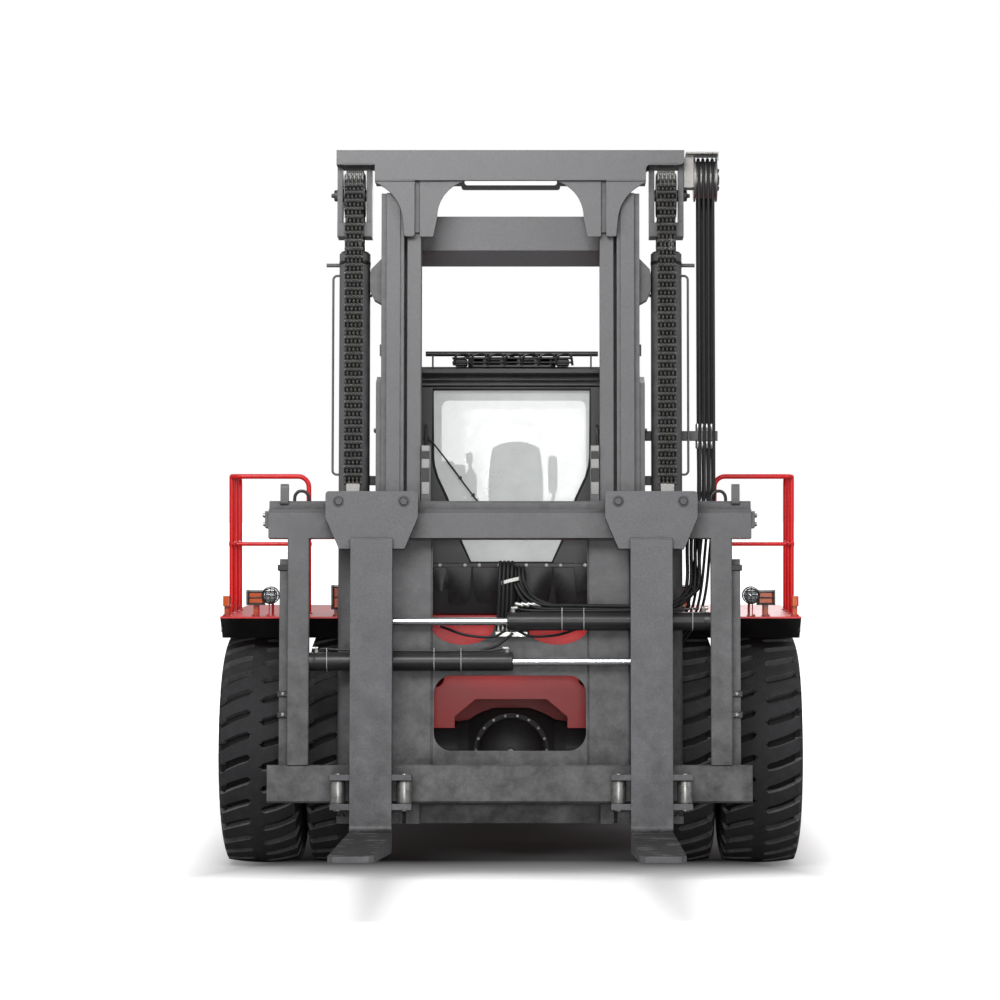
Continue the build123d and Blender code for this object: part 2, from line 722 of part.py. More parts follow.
# Railings, each bent from one tube, with a middle rail and posts between
rail_radius = 17
rail_bend = 75
rail_front_y = -70
rail_rear_y = 650
rail_outer_x = platform_half_width - 28
rail_inner_x = 1425
rail_height = 965
middle_rail_height = 490
low_rail_height = 240
with BuildPart(truck) as railings:
    top = platform_top + rail_height
    bent_tube(
        (
            (rail_inner_x, rail_front_y, platform_top),
            (rail_inner_x, rail_front_y, top),
            (rail_outer_x, rail_front_y, top),
            (rail_outer_x, rail_rear_y, top),
            (rail_outer_x, rail_rear_y, platform_top),
        ),
        rail_bend,
        rail_radius,
    )
    for y in (rail_front_y, (rail_front_y + rail_rear_y) / 2):
        post_y = y + rail_bend / 2 + rail_radius
        rod((rail_outer_x, post_y, platform_top), (rail_outer_x, post_y, top), rail_radius)
    middle_z = platform_top + middle_rail_height
    front_post = (rail_outer_x, rail_front_y + rail_bend / 2 + rail_radius, middle_z)
    rod((rail_inner_x, rail_front_y, middle_z), (rail_outer_x - 40, rail_front_y, middle_z), rail_radius - 3)
    rod((rail_outer_x - 40, rail_front_y, middle_z), front_post, rail_radius - 3)
    rod(front_post, (rail_outer_x, rail_rear_y, middle_z), rail_radius - 3)
    mirror(about=Plane.YZ)
railings.part.label = "railings"
export_step(railings.part, "parts/railings.step")

# Steps up to the platforms
step_y = (970, 1480)
step_rail = 40
first_step = 480
with BuildPart(truck) as access_steps:
    for y in (step_y[0], step_y[1] - step_rail):
        block((1560, 1620), (y, y + step_rail), (first_step - 30, platform_top - sheet - seat_gap))
    step_rise = (platform_top - first_step) / 3.2
    for number in range(3):
        z = first_step + number * step_rise
        block((1480, 1760), step_y, (z, z + 30))
    mirror(about=Plane.YZ)
access_steps.part.label = "access_steps"
export_step(access_steps.part, "parts/access_steps.step")

# Cab shell, hollow, with its door ways and windows cut
cab_floor = platform_top + seat_gap
cab_roof_z = cab_floor + cab_height
sill_z = cab_floor + 360
brow_z = cab_roof_z - 150
cab_outline = (
    (cab_front_y, cab_floor),
    (cab_front_y - 40, sill_z),
    (cab_front_y + 60, brow_z),
    (cab_front_y + 110, brow_z + 110),
    (cab_front_y + 200, cab_roof_z),
    (cab_rear_y - 80, cab_roof_z),
    (cab_rear_y, cab_roof_z - 90),
    (cab_rear_y, cab_floor),
)
cab_hollow = (
    (cab_front_y + cab_wall, cab_floor + cab_wall),
    (cab_front_y - 40 + cab_wall, sill_z),
    (cab_front_y + 60 + cab_wall, brow_z),
    (cab_front_y + 200, cab_roof_z - cab_wall - 20),
    (cab_rear_y - 80, cab_roof_z - cab_wall - 20),
    (cab_rear_y - cab_wall, cab_roof_z - 110),
    (cab_rear_y - cab_wall, cab_floor + cab_wall),
)
door_bottom = cab_floor + 40
door_top = brow_z - 10
window_bottom = cab_floor + 500
cab_inner_half = cab_half_width - cab_wall
rear_window = (1080, brow_z - window_bottom - 110)
rear_window_middle = (0, (window_bottom + brow_z) / 2)
side_window = (cab_rear_y - door_rear_y - 200, brow_z - window_bottom - 130)
side_window_middle = ((cab_rear_y + door_rear_y) / 2 - 10, (window_bottom + brow_z) / 2)
roof_window = (-440, 440)
roof_window_y = (350, 1250)
roof_lamp_bar = cab_roof_z + 75

with BuildSketch(front_view(cab_front_y + 150)) as windshield:
    with BuildLine():
        top_z = brow_z - 10
        Polyline((0, top_z), (555, top_z), (555, cab_floor + 1100))
        ThreePointArc((555, cab_floor + 1100), (525, cab_floor + 960), (454, cab_floor + 808))
        Polyline((454, cab_floor + 808), (362, cab_floor + 520), (288, cab_floor + 356), (0, cab_floor + 356))
        mirror(about=Plane.YZ)
    make_face()
    fillet(windshield.vertices().sort_by(Axis.Y)[-2:], radius=40)

with BuildPart(truck) as cab_shell:
    plate(side_view(-cab_half_width), cab_outline, 2 * cab_half_width)
    roof_edges = cab_shell.edges().filter_by(Axis.Y).sort_by(Axis.Z)[-2:]
    fillet(roof_edges, radius=45)
    plate(side_view(-cab_inner_half), cab_hollow, 2 * cab_inner_half, Mode.SUBTRACT)
    extrude(windshield.sketch, amount=320, mode=Mode.SUBTRACT)
    for side, sign in SIDES:
        wall = (sign * (cab_inner_half - 1), sign * (cab_half_width + 1))
        door_way = (door_front_y - door_gap, door_rear_y + door_gap)
        block(wall, door_way, (door_bottom, door_top), Mode.SUBTRACT)
        wall_start = min(wall)
        rounded_box(side_view(wall_start), side_window_middle, side_window, 60, cab_wall + 2, Mode.SUBTRACT)
        for height in hinge_heights:
            z = cab_floor + height
            rod((sign * hinge_x, hinge_y, z), (sign * hinge_x, hinge_y, z + hinge_length), hinge_radius)
            leaf = (sign * (cab_half_width - 1), sign * hinge_x)
            block(leaf, (hinge_y - 40, hinge_y), (z, z + hinge_length))
    rounded_box(front_view(cab_rear_y + 1), rear_window_middle, rear_window, 60, cab_wall + 2, Mode.SUBTRACT)
    block(roof_window, roof_window_y, (cab_roof_z - cab_wall - 25, cab_roof_z + 1), Mode.SUBTRACT)
    rounded_box(plan_view(cab_roof_z - 1), (0, 190), (620, 260), 40, 70)
    cross_rod((-610, 610), cab_front_y + 240, roof_lamp_bar + 18, 18)
    for x in (-560, 560):
        block((x - 6, x + 6), (cab_front_y + 225, cab_front_y + 255), (cab_roof_z - 1, roof_lamp_bar + 18))
cab_shell.part.label = "cab_shell"
export_step(cab_shell.part, "parts/cab_shell.step")

# Cab glass: leaning windshield, rear, side and roof panes
with BuildPart(truck) as cab_glass:
    with BuildSketch(front_view(cab_front_y + 150)) as windshield_pane:
        add(windshield.sketch)
        offset(amount=-glass_gap, kind=Kind.INTERSECTION)
    extrude(windshield_pane.sketch, amount=320)
    foot_y = cab_front_y - 14
    head_y = cab_front_y + 86
    pane_outside = ((foot_y, sill_z - 40), (head_y, brow_z))
    pane_inside = ((head_y + glass_thickness, brow_z), (foot_y + glass_thickness, sill_z - 40))
    lean_pane = (*pane_outside, *pane_inside)
    plate(side_view(-cab_half_width), lean_pane, 2 * cab_half_width, Mode.INTERSECT)
    rear_size = tuple(length - 2 * glass_gap for length in rear_window)
    rounded_box(front_view(cab_rear_y - 26), rear_window_middle, rear_size, 60, glass_thickness)
    side_size = tuple(length - 2 * glass_gap for length in side_window)
    for side, sign in SIDES:
        pane_x = sign * (cab_half_width - 30) - glass_thickness / 2
        rounded_box(side_view(pane_x), side_window_middle, side_size, 60, glass_thickness)
    roof_pane = tuple((low + glass_gap, high - glass_gap) for low, high in (roof_window, roof_window_y))
    block(*roof_pane, (cab_roof_z - 40, cab_roof_z - 40 + glass_thickness))
cab_glass.part.label = "cab_glass"
export_step(cab_glass.part, "parts/cab_glass.step")

# Doors, each as thick as the cab's wall, with a window and a handle recess
door_window = (door_rear_y - door_front_y - 160, door_top - 90 - window_bottom)
door_window_middle = ((door_front_y + door_rear_y) / 2, (window_bottom + door_top - 90) / 2)
for side, sign in SIDES:
    with BuildPart(truck) as door:
        skin = (sign * cab_inner_half, sign * cab_half_width)
        block(skin, (door_front_y, door_rear_y), (door_bottom + door_gap, door_top - door_gap))
        skin_start = min(skin) - 1
        cut = (door_window_middle, door_window, 80, cab_wall + 2)
        rounded_box(side_view(skin_start), *cut, Mode.SUBTRACT)
        recess = (sign * (cab_half_width - 25), sign * (cab_half_width + 1))
        recess_z = (window_bottom - 130, window_bottom - 70)
        block(recess, (door_rear_y - 200, door_rear_y - 70), recess_z, Mode.SUBTRACT)
        for height in hinge_heights:
            z = cab_floor + height + hinge_length + seat_gap
            rod((sign * hinge_x, hinge_y, z), (sign * hinge_x, hinge_y, z + hinge_length), hinge_radius)
            leaf = (sign * (cab_half_width - 1), sign * hinge_x)
            block(leaf, (door_front_y, door_front_y + 40), (z, z + hinge_length))
            neck = (sign * (hinge_x - 6), sign * (hinge_x + 6))
            block(neck, (hinge_y, door_front_y + 1), (z, z + hinge_length))
    door.part.label = f"cab_door_{side}"
    export_step(door.part, f"parts/cab_door_{side}.step")

    with BuildPart(truck) as door_glass:
        pane_x = sign * (cab_half_width - 30) - glass_thickness / 2
        rounded_box(side_view(pane_x), door_window_middle, door_window, 80, glass_thickness)
    door_glass.part.label = f"door_glass_{side}"
    export_step(door_glass.part, f"parts/door_glass_{side}.step")

# Driver's place
cab_deck = cab_floor + cab_wall + seat_gap
seat_z = cab_floor + 450
seat_x = 20
with BuildPart(truck) as driver_seat:
    block((seat_x - 130, seat_x + 130), (660, 960), (cab_deck, seat_z))
    rounded_box(plan_view(seat_z), (seat_x, 800), (440, 520), 60, 130)
    rounded_box(front_view(1040), (seat_x, seat_z + 430), (380, 660), 90, 120)
driver_seat.part.label = "driver_seat"
export_step(driver_seat.part, "parts/driver_seat.step")

with BuildPart(truck) as steering_column:
    column_top = cab_floor + 740
    plate(side_view(-50), ((180, cab_deck), (340, cab_deck), (330, column_top), (250, column_top)), 140)
    rod((20, 290, column_top - 20), (20, 333, column_top + 110), 28)
    with Locations(Location((20, 333, column_top + 110), (-20, 0, 0))):
        Torus(170, 14)
        Cylinder(34, 40)
        for turn in (90, 210, 330):
            with Locations(Location((0, 0, 0), (0, 0, turn))):
                with Locations((90, 0, 0)):
                    Box(170, 24, 12)
steering_column.part.label = "steering_column"
export_step(steering_column.part, "parts/steering_column.step")

with BuildPart(truck) as control_console:
    console_top = cab_floor + 810
    console_front = ((560, console_top), (420, console_top - 130), (420, cab_deck))
    console = (*console_front, (1020, cab_deck), (1020, console_top - 60))
    plate(side_view(-545), console, 300)
    for x in (-480, -400, -320):
        rod((x, 640, console_top - 30), (x, 620, console_top + 130), 9)
        with Locations((x, 619, console_top + 145)):
            Sphere(22)
control_console.part.label = "control_console"
export_step(control_console.part, "parts/control_console.step")

# Lamps on brackets at the platform's front edge
lamp_y = platform_front_y + 60
with BuildPart(truck) as head_lamps:
    rod((1656, lamp_y - 45, platform_top + 145), (1656, lamp_y + 45, platform_top + 145), 44)
    block((1646, 1666), (lamp_y - 10, lamp_y + 10), (platform_top + seat_gap, platform_top + 110))
    mirror(about=Plane.YZ)
head_lamps.part.label = "head_lamps"
export_step(head_lamps.part, "parts/head_lamps.step")

with BuildPart(truck) as signal_lamps:
    for x, width, bottom, height in ((1757, 104, 92, 76), (1958, 50, 70, 70), (1200, 48, 62, 140)):
        base = platform_top + bottom
        rounded_box(plan_view(base), (x, lamp_y), (width, 60), 12, height)
        block((x - 18, x + 18), (lamp_y - 4, lamp_y + 4), (platform_top + seat_gap, base + 1))
    mirror(about=Plane.YZ)
signal_lamps.part.label = "signal_lamps"
export_step(signal_lamps.part, "parts/signal_lamps.step")

# Rubber flaps under the windshield, hung on a strip
with BuildPart(truck) as rubber_flaps:
    strip_back = cab_front_y - 40 - seat_gap
    block((-560, 560), (strip_back - 20, strip_back), (sill_z - 32, sill_z - 4))
    block((-545, 545), (strip_back - 15, strip_back - 7), (cab_floor + 55, sill_z - 20))
rubber_flaps.part.label = "rubber_flaps"
export_step(rubber_flaps.part, "parts/rubber_flaps.step")

# Exhaust stack and air cleaner behind the cab
stack_y = platform_rear_y + 115
saddle_y = (platform_rear_y + 5, hood_front_y + 10)
with BuildPart(truck) as exhaust_stack:
    rod((840, stack_y, platform_top + 100), (840, stack_y, platform_top + 750), 130)
    tail_top = platform_top + 1350
    tail = ((840, stack_y, tail_top), (840, stack_y + 260, tail_top + 130))
    bent_tube(((840, stack_y, platform_top + 740), *tail), 120, 60)
    block((side_face - 13, 960), saddle_y, (frame_top + seat_gap, platform_top + 100))
exhaust_stack.part.label = "exhaust_stack"
export_step(exhaust_stack.part, "parts/exhaust_stack.step")

with BuildPart(truck) as air_cleaner:
    rod((-880, stack_y, platform_top + 60), (-880, stack_y, platform_top + 600), 170)
    rod((-880, stack_y, platform_top + 600), (-880, stack_y, platform_top + 680), 70)
    rod((-880, stack_y, platform_top + 680), (-880, stack_y, platform_top + 760), 130)
    block((-1000, 13 - side_face), saddle_y, (frame_top + seat_gap, platform_top + 60))
air_cleaner.part.label = "air_cleaner"
export_step(air_cleaner.part, "parts/air_cleaner.step")

# Outer mast: two channels, ties behind them, pivot lugs, brackets and feet for the lift cylinders
bulkhead_z = 2976
bulkhead_half = 33
chain_anchor_low = 2640
upper_tie = (outer_rail_top - 359, outer_rail_top - 124)
middle_tie = (tilt_eye_z - 140, tilt_eye_z + 55)
tie_depth = 60.5
foot = 50
pivot_lug = 120
lug_x = (outer_rail_inner_x + 5, outer_rail_inner_x + 75)
with BuildPart(truck) as outer_mast:
    with BuildSketch(plan_view(rail_bottom)) as channel:
        channel_middle = (outer_rail_inner_x + outer_rail_width / 2, mast_middle_y)
        with Locations(channel_middle):
            Rectangle(outer_rail_width, outer_rail_depth)
        with Locations((channel_middle[0] - outer_web, mast_middle_y)):
            Rectangle(outer_rail_width, outer_rail_depth - 2 * outer_flange, mode=Mode.SUBTRACT)
        with Locations((outer_rail_inner_x, outer_front_y)):
            Rectangle(52, 20, mode=Mode.SUBTRACT)
        with Locations((outer_web_x + outer_backing / 2, mast_middle_y + 15)):
            Rectangle(outer_backing + 2, outer_rail_depth - 30)
        with Locations((outer_rail_inner_x + 5, outer_rear_y + 6)):
            Rectangle(60, 14)
    extrude(amount=outer_rail_top - rail_bottom)
    wear_foot = ((mast_middle_y - 90, rail_bottom), (mast_middle_y + 90, rail_bottom))
    wear_plate = (*wear_foot, (mast_middle_y + 90, 3380), (mast_middle_y - 90, 3320))
    plate(side_view(outer_side_x - 1), wear_plate, 37)
    tab_x = (outer_side_x - 1, outer_side_x + 14)
    block(tab_x, (mast_middle_y - 30, mast_middle_y + 30), (3515, 3590))
    lug_root = ((outer_rear_y - 1, pivot_z + 300), (outer_rear_y - 1, pivot_z - 220))
    lug_nose = ((pivot_y, pivot_z - pivot_lug), (pivot_y, pivot_z + pivot_lug))
    plate(side_view(lug_x[0]), (*lug_root, *lug_nose), lug_x[1] - lug_x[0])
    cross_rod(lug_x, pivot_y, pivot_z, pivot_lug)
    cross_rod((lug_x[0] - 1, lug_x[1] + 1), pivot_y, pivot_z, pivot_pin_radius + stub_fit, Mode.SUBTRACT)
    foot_x = (outer_side_x - 1, cylinder_x + barrel_radius)
    block(foot_x, (mast_middle_y - 100, mast_middle_y + 100), (rail_bottom, rail_bottom + foot))
    clamp_x = cylinder_x - barrel_radius - seat_gap
    bracket = (
        (outer_side_x - 1, barrel_top - 35),
        (clamp_x - 8, barrel_top - 110),
        (clamp_x, barrel_top - 150),
        (clamp_x, barrel_top - 260),
        (clamp_x - 28, barrel_top - 320),
        (outer_side_x - 1, barrel_top - 350),
    )
    plate(front_view(mast_middle_y + 60), bracket, 120)
    for wall in (-70, 48):
        ear = (tilt_x + wall, tilt_x + wall + 22)
        block(ear, (outer_rear_y + 30, tilt_eye_y + 50), (tilt_eye_z - 70, tilt_eye_z + 70))
    cross_rod((tilt_x - 70, tilt_x + 70), tilt_eye_y, tilt_eye_z, tilt_pin_radius - 4)
    anchor = (outer_rear_y - 20, outer_rear_y + 50)
    anchor_reach = (outer_side_x - 1, cylinder_x + chain_width / 2 + 14)
    block(anchor_reach, anchor, (chain_anchor_low, chain_anchor_low + 60))
    mirror(about=Plane.YZ)
    across = (-outer_side_x, outer_side_x)
    block(across, (outer_rear_y, outer_rear_y + 36), (rail_bottom, rail_bottom + 126))
    block(across, (outer_rear_y, outer_rear_y + tie_depth), middle_tie)
    upper_tie_section = (
        (outer_rear_y, upper_tie[0]),
        (outer_rear_y + 130, upper_tie[0] - 95),
        (outer_rear_y + 142, upper_tie[0] - 85),
        (outer_rear_y + 30, upper_tie[0] + 20),
        (outer_rear_y + 30, upper_tie[1]),
        (outer_rear_y, upper_tie[1]),
    )
    plate(side_view(across[0]), upper_tie_section, 2 * outer_side_x)
    hose_bracket = (outer_rear_y - 20, outer_rear_y + 10)
    block((outer_side_x - 1, 1420), hose_bracket, (bulkhead_z - bulkhead_half, bulkhead_z + bulkhead_half))
outer_mast.part.move(mast_lean)
outer_mast.part.label = "outer_mast"
export_step(outer_mast.part, "parts/outer_mast.step")

with BuildPart(truck) as lift_barrels:
    cylinder = (cylinder_x, mast_middle_y)
    rod((*cylinder, rail_bottom + foot + seat_gap), (*cylinder, barrel_top), barrel_radius)
    rod((*cylinder, rail_bottom + 250), (*cylinder, barrel_top - gland), barrel_bore, Mode.SUBTRACT)
    mouth = ((*cylinder, barrel_top - gland - 1), (*cylinder, barrel_top + 1))
    rod(*mouth, lift_rod_radius + gland_fit, Mode.SUBTRACT)
    cross_rod((cylinder_x + barrel_radius - 10, cylinder_x + 195), mast_middle_y, barrel_top - 77, 13)
    pipe_x = cylinder_x + barrel_radius + 42
    bent_tube(
        (
            (cylinder_x + barrel_radius - 10, mast_middle_y, barrel_top - 149),
            (pipe_x, mast_middle_y, barrel_top - 149),
            (pipe_x, mast_middle_y, 2700),
            (cylinder_x + barrel_radius - 10, mast_middle_y, 2700),
        ),
        28,
        8,
    )
    mirror(about=Plane.YZ)
lift_barrels.part.move(mast_lean)
lift_barrels.part.label = "lift_barrels"
export_step(lift_barrels.part, "parts/lift_barrels.step")

# Inner mast: two beams, the hollow top beam with its slotted rear wall, the curved gussets, and
# the sheave plates with their crossheads
inner_middle_x = inner_rail_inner_x + inner_rail_width / 2
inner_outer_x = inner_rail_inner_x + inner_rail_width
beam_front_y = outer_front_y - 44
beam_rear_y = mast_middle_y + 90
beam_bottom = inner_rail_top
sheave_inside = sheave_width / 2 + 16.5
sheave_outside = sheave_inside + sheave_plate
beam_half_width = cylinder_x + sheave_outside + 3
beam_step_x = outer_side_x + 45
gusset_bottom = beam_bottom - 385
gusset_y = outer_front_y - 8
roller_radius = outer_rail_depth / 2 - outer_flange - roller_gap
slot_half = 318
with BuildPart(truck) as inner_mast:
    with BuildSketch(plan_view(rail_bottom)) as beam_section:
        for y in (inner_front_y + inner_flange / 2, inner_rear_y - inner_flange / 2):
            with Locations((inner_middle_x, y)):
                Rectangle(inner_rail_width, inner_flange)
        with Locations((inner_middle_x, mast_middle_y)):
            Rectangle(inner_web, inner_rail_depth)
    extrude(amount=inner_rail_top - rail_bottom)
    crosshead_y = (mast_middle_y - 90, mast_middle_y + 90)
    for inside, outside in ((sheave_inside, sheave_outside), (-sheave_inside, -sheave_outside)):
        cheek = (cylinder_x + inside, cylinder_x + outside)
        block(cheek, crosshead_y, (crosshead_bottom, beam_top - beam_end_depth + 2))
        shoe = (cylinder_x + inside - math.copysign(18, inside), cylinder_x + outside)
        block(shoe, (crosshead_y[0] - 10, crosshead_y[1]), (crosshead_bottom, crosshead_bottom + crosshead))
    head_x = (cylinder_x - sheave_inside, cylinder_x + sheave_inside)
    block(head_x, crosshead_y, (crosshead_bottom, crosshead_bottom + crosshead - 10))
    for z in (rail_bottom + 110, rail_bottom + 660):
        cross_rod((inner_middle_x, outer_web_x - outer_web - 6), mast_middle_y, z, roller_radius)
    with BuildSketch(front_view(gusset_y)) as front_gusset:
        with BuildLine():
            toe = inner_rail_inner_x + 43
            knee = (inner_outer_x + 30, gusset_bottom + 120)
            Polyline((beam_step_x - 1, beam_bottom + 1), (toe, beam_bottom + 1), (toe, gusset_bottom))
            Polyline((toe, gusset_bottom), (knee[0] - 10, gusset_bottom), knee)
            ThreePointArc(knee, (outer_web_x - 34, beam_bottom - 92), (beam_step_x - 1, beam_bottom - 14))
            Line((beam_step_x - 1, beam_bottom - 14), (beam_step_x - 1, beam_bottom + 1))
        make_face()
        fillet(front_gusset.vertices().sort_by(Axis.Y)[:2], radius=16)
    extrude(front_gusset.sketch, amount=32)
    with BuildSketch(front_view(gusset_y)) as inner_gusset:
        with BuildLine():
            bend = (inner_rail_inner_x - 112, beam_bottom - 240)
            edge = inner_rail_inner_x + 8
            Polyline((330, beam_bottom + 1), (edge, beam_bottom + 1), (edge, gusset_bottom))
            Polyline((edge, gusset_bottom), (edge - 92, gusset_bottom), bend)
            ThreePointArc(bend, (inner_rail_inner_x - 164, beam_bottom - 92), (330, beam_bottom - 8))
            Line((330, beam_bottom - 8), (330, beam_bottom + 1))
        make_face()
        fillet(inner_gusset.vertices().sort_by(Axis.Y)[:2], radius=12)
    extrude(inner_gusset.sketch, amount=16)
    block((toe - 34, inner_outer_x - 5), (gusset_y - 1, inner_front_y + 1), (gusset_bottom + 30, beam_bottom))
    pin_head = (cylinder_x + sheave_outside - 1, cylinder_x + sheave_outside + 17)
    cross_rod(pin_head, mast_middle_y, sheave_z, sheave_pin_radius)
    mirror(about=Plane.YZ)
    with BuildSketch(front_view(beam_rear_y)) as beam_outline:
        with BuildLine():
            half_outline = (
                (0, beam_top),
                (beam_half_width, beam_top),
                (beam_half_width, beam_top - beam_end_depth),
                (beam_step_x, beam_top - beam_end_depth),
                (beam_step_x, beam_bottom),
                (0, beam_bottom),
            )
            Polyline(*half_outline)
            mirror(about=Plane.YZ)
        make_face()
        notch_level = beam_outline.vertices().sort_by(Axis.Y)[3:7]
        fillet(notch_level.sort_by(Axis.X)[1:3], radius=34)
    extrude(beam_outline.sketch, amount=beam_rear_y - beam_front_y)
    cavity_half = inner_rail_inner_x - 20
    cavity_y = (beam_front_y + beam_wall, beam_rear_y - beam_wall)
    block((-cavity_half, cavity_half), cavity_y, (beam_bottom - 1, beam_top - beam_wall), Mode.SUBTRACT)
    rounded_box(front_view(beam_rear_y), (0, beam_bottom - 6), (680, 42), 20, beam_wall)
    slot = ((0, beam_bottom + 24), (2 * slot_half, 44), 20, beam_wall + 2)
    rounded_box(front_view(beam_rear_y + 1), *slot, Mode.SUBTRACT)
    for low, high in ((rail_bottom + 170, rail_bottom + 310), (2260, 2440)):
        tie_x = (-inner_rail_inner_x - 20, inner_rail_inner_x + 20)
        block(tie_x, (inner_rear_y - inner_tie, inner_rear_y - 1), (low, high))
inner_mast.part.move(mast_lean)
inner_mast.part.label = "inner_mast"
export_step(inner_mast.part, "parts/inner_mast.step")

with BuildPart(truck) as lift_rods:
    for side, sign in SIDES:
        line = (sign * cylinder_x, mast_middle_y)
        rod((*line, rail_bottom + 600), (*line, crosshead_bottom - seat_gap), lift_rod_radius)
lift_rods.part.move(mast_lean)
lift_rods.part.label = "lift_rods"
export_step(lift_rods.part, "parts/lift_rods.step")

# Chain sheaves, each turned with its flanges, on a pin between its plates, and the chain over it
with BuildPart(truck) as chain_sheaves:
    sheave_middle = (mast_middle_y, sheave_z)
    rim_height = sheave_radius + chain_thickness / 2
    cross_rod((cylinder_x - sheave_width / 2, cylinder_x + sheave_width / 2), *sheave_middle, sheave_radius)
    for edge in (-sheave_width / 2 - 6, sheave_width / 2 - 2):
        cross_rod((cylinder_x + edge, cylinder_x + edge + 8), *sheave_middle, rim_height)
    pin_half = sheave_inside - seat_gap
    cross_rod((cylinder_x - pin_half, cylinder_x + pin_half), *sheave_middle, sheave_pin_radius)
    with BuildSketch(side_view(cylinder_x - chain_width / 2)) as chain_wrap:
        with Locations(sheave_middle):
            Circle(sheave_radius + seat_gap + chain_thickness)
            Circle(sheave_radius + seat_gap, mode=Mode.SUBTRACT)
        with Locations((mast_middle_y, sheave_z - sheave_radius)):
            Rectangle(3 * sheave_radius, 2 * sheave_radius, mode=Mode.SUBTRACT)
    extrude(chain_wrap.sketch, amount=chain_width)
    mirror(about=Plane.YZ)
chain_sheaves.part.move(mast_lean)
chain_sheaves.part.label = "chain_sheaves"
export_step(chain_sheaves.part, "parts/chain_sheaves.step")

# Hose sheave on the end of the top beam, with its keeper plate
hose_sheave_x = (beam_half_width + 68, beam_half_width + 228)
hose_sheave_z = inner_rail_top + 30
hose_sheave_radius = 140
hose_radius = 13
hose_pitch = 32
with BuildPart(truck) as hose_sheave:
    drum_radius = hose_sheave_radius - hose_radius - seat_gap
    hose_middle = (mast_middle_y, hose_sheave_z)
    cross_rod(hose_sheave_x, *hose_middle, drum_radius)
    for x in (hose_sheave_x[0], hose_sheave_x[1] - 12):
        cross_rod((x, x + 12), *hose_middle, hose_sheave_radius + 10)
    arm_x = (beam_half_width + seat_gap, hose_sheave_x[0] - 1)
    block(arm_x, (mast_middle_y - 60, mast_middle_y + 60), (hose_sheave_z - 62, hose_sheave_z + 142))
    cross_rod((arm_x[1] - 14, hose_sheave_x[0] + 1), *hose_middle, 30)
    keeper_z = (beam_top - 15, beam_top - 3)
    riser_x = (arm_x[1] - 54, arm_x[1])
    block(riser_x, (mast_middle_y - 60, mast_middle_y - 20), (hose_sheave_z + 141, keeper_z[1]))
    keeper_end = hose_sheave_x[1] + 8
    block((riser_x[0], keeper_end), (mast_middle_y - 120, mast_middle_y + 60), keeper_z)
    hook_z = (keeper_z[0] - 44, keeper_z[1])
    block((keeper_end - 6, keeper_end), (mast_middle_y - 120, mast_middle_y - 90), hook_z)
hose_sheave.part.move(mast_lean)
hose_sheave.part.label = "hose_sheave"
export_step(hose_sheave.part, "parts/hose_sheave.step")

# Lift chains, their front runs, and the hoses to the carriage
chain_y = mast_middle_y - sheave_radius - seat_gap - chain_thickness / 2
chain_anchor_z = 2565
with BuildPart(truck) as lift_chains:
    chain_x = (cylinder_x - chain_width / 2, cylinder_x + chain_width / 2)
    block(chain_x, (chain_y - chain_thickness / 2, chain_y + chain_thickness / 2), (chain_anchor_z, sheave_z))
    mirror(about=Plane.YZ)
lift_chains.part.move(mast_lean)
lift_chains.part.label = "lift_chains"
export_step(lift_chains.part, "parts/lift_chains.step")

with BuildPart(truck) as mast_hoses:
    for number in range(4):
        place = (hose_sheave_x[0] + (number + 1) * hose_pitch, mast_middle_y - hose_sheave_radius)
        rod((*place, chain_anchor_z), (*place, hose_sheave_z), hose_radius)
mast_hoses.part.move(mast_lean)
mast_hoses.part.label = "mast_hoses"
export_step(mast_hoses.part, "parts/mast_hoses.step")

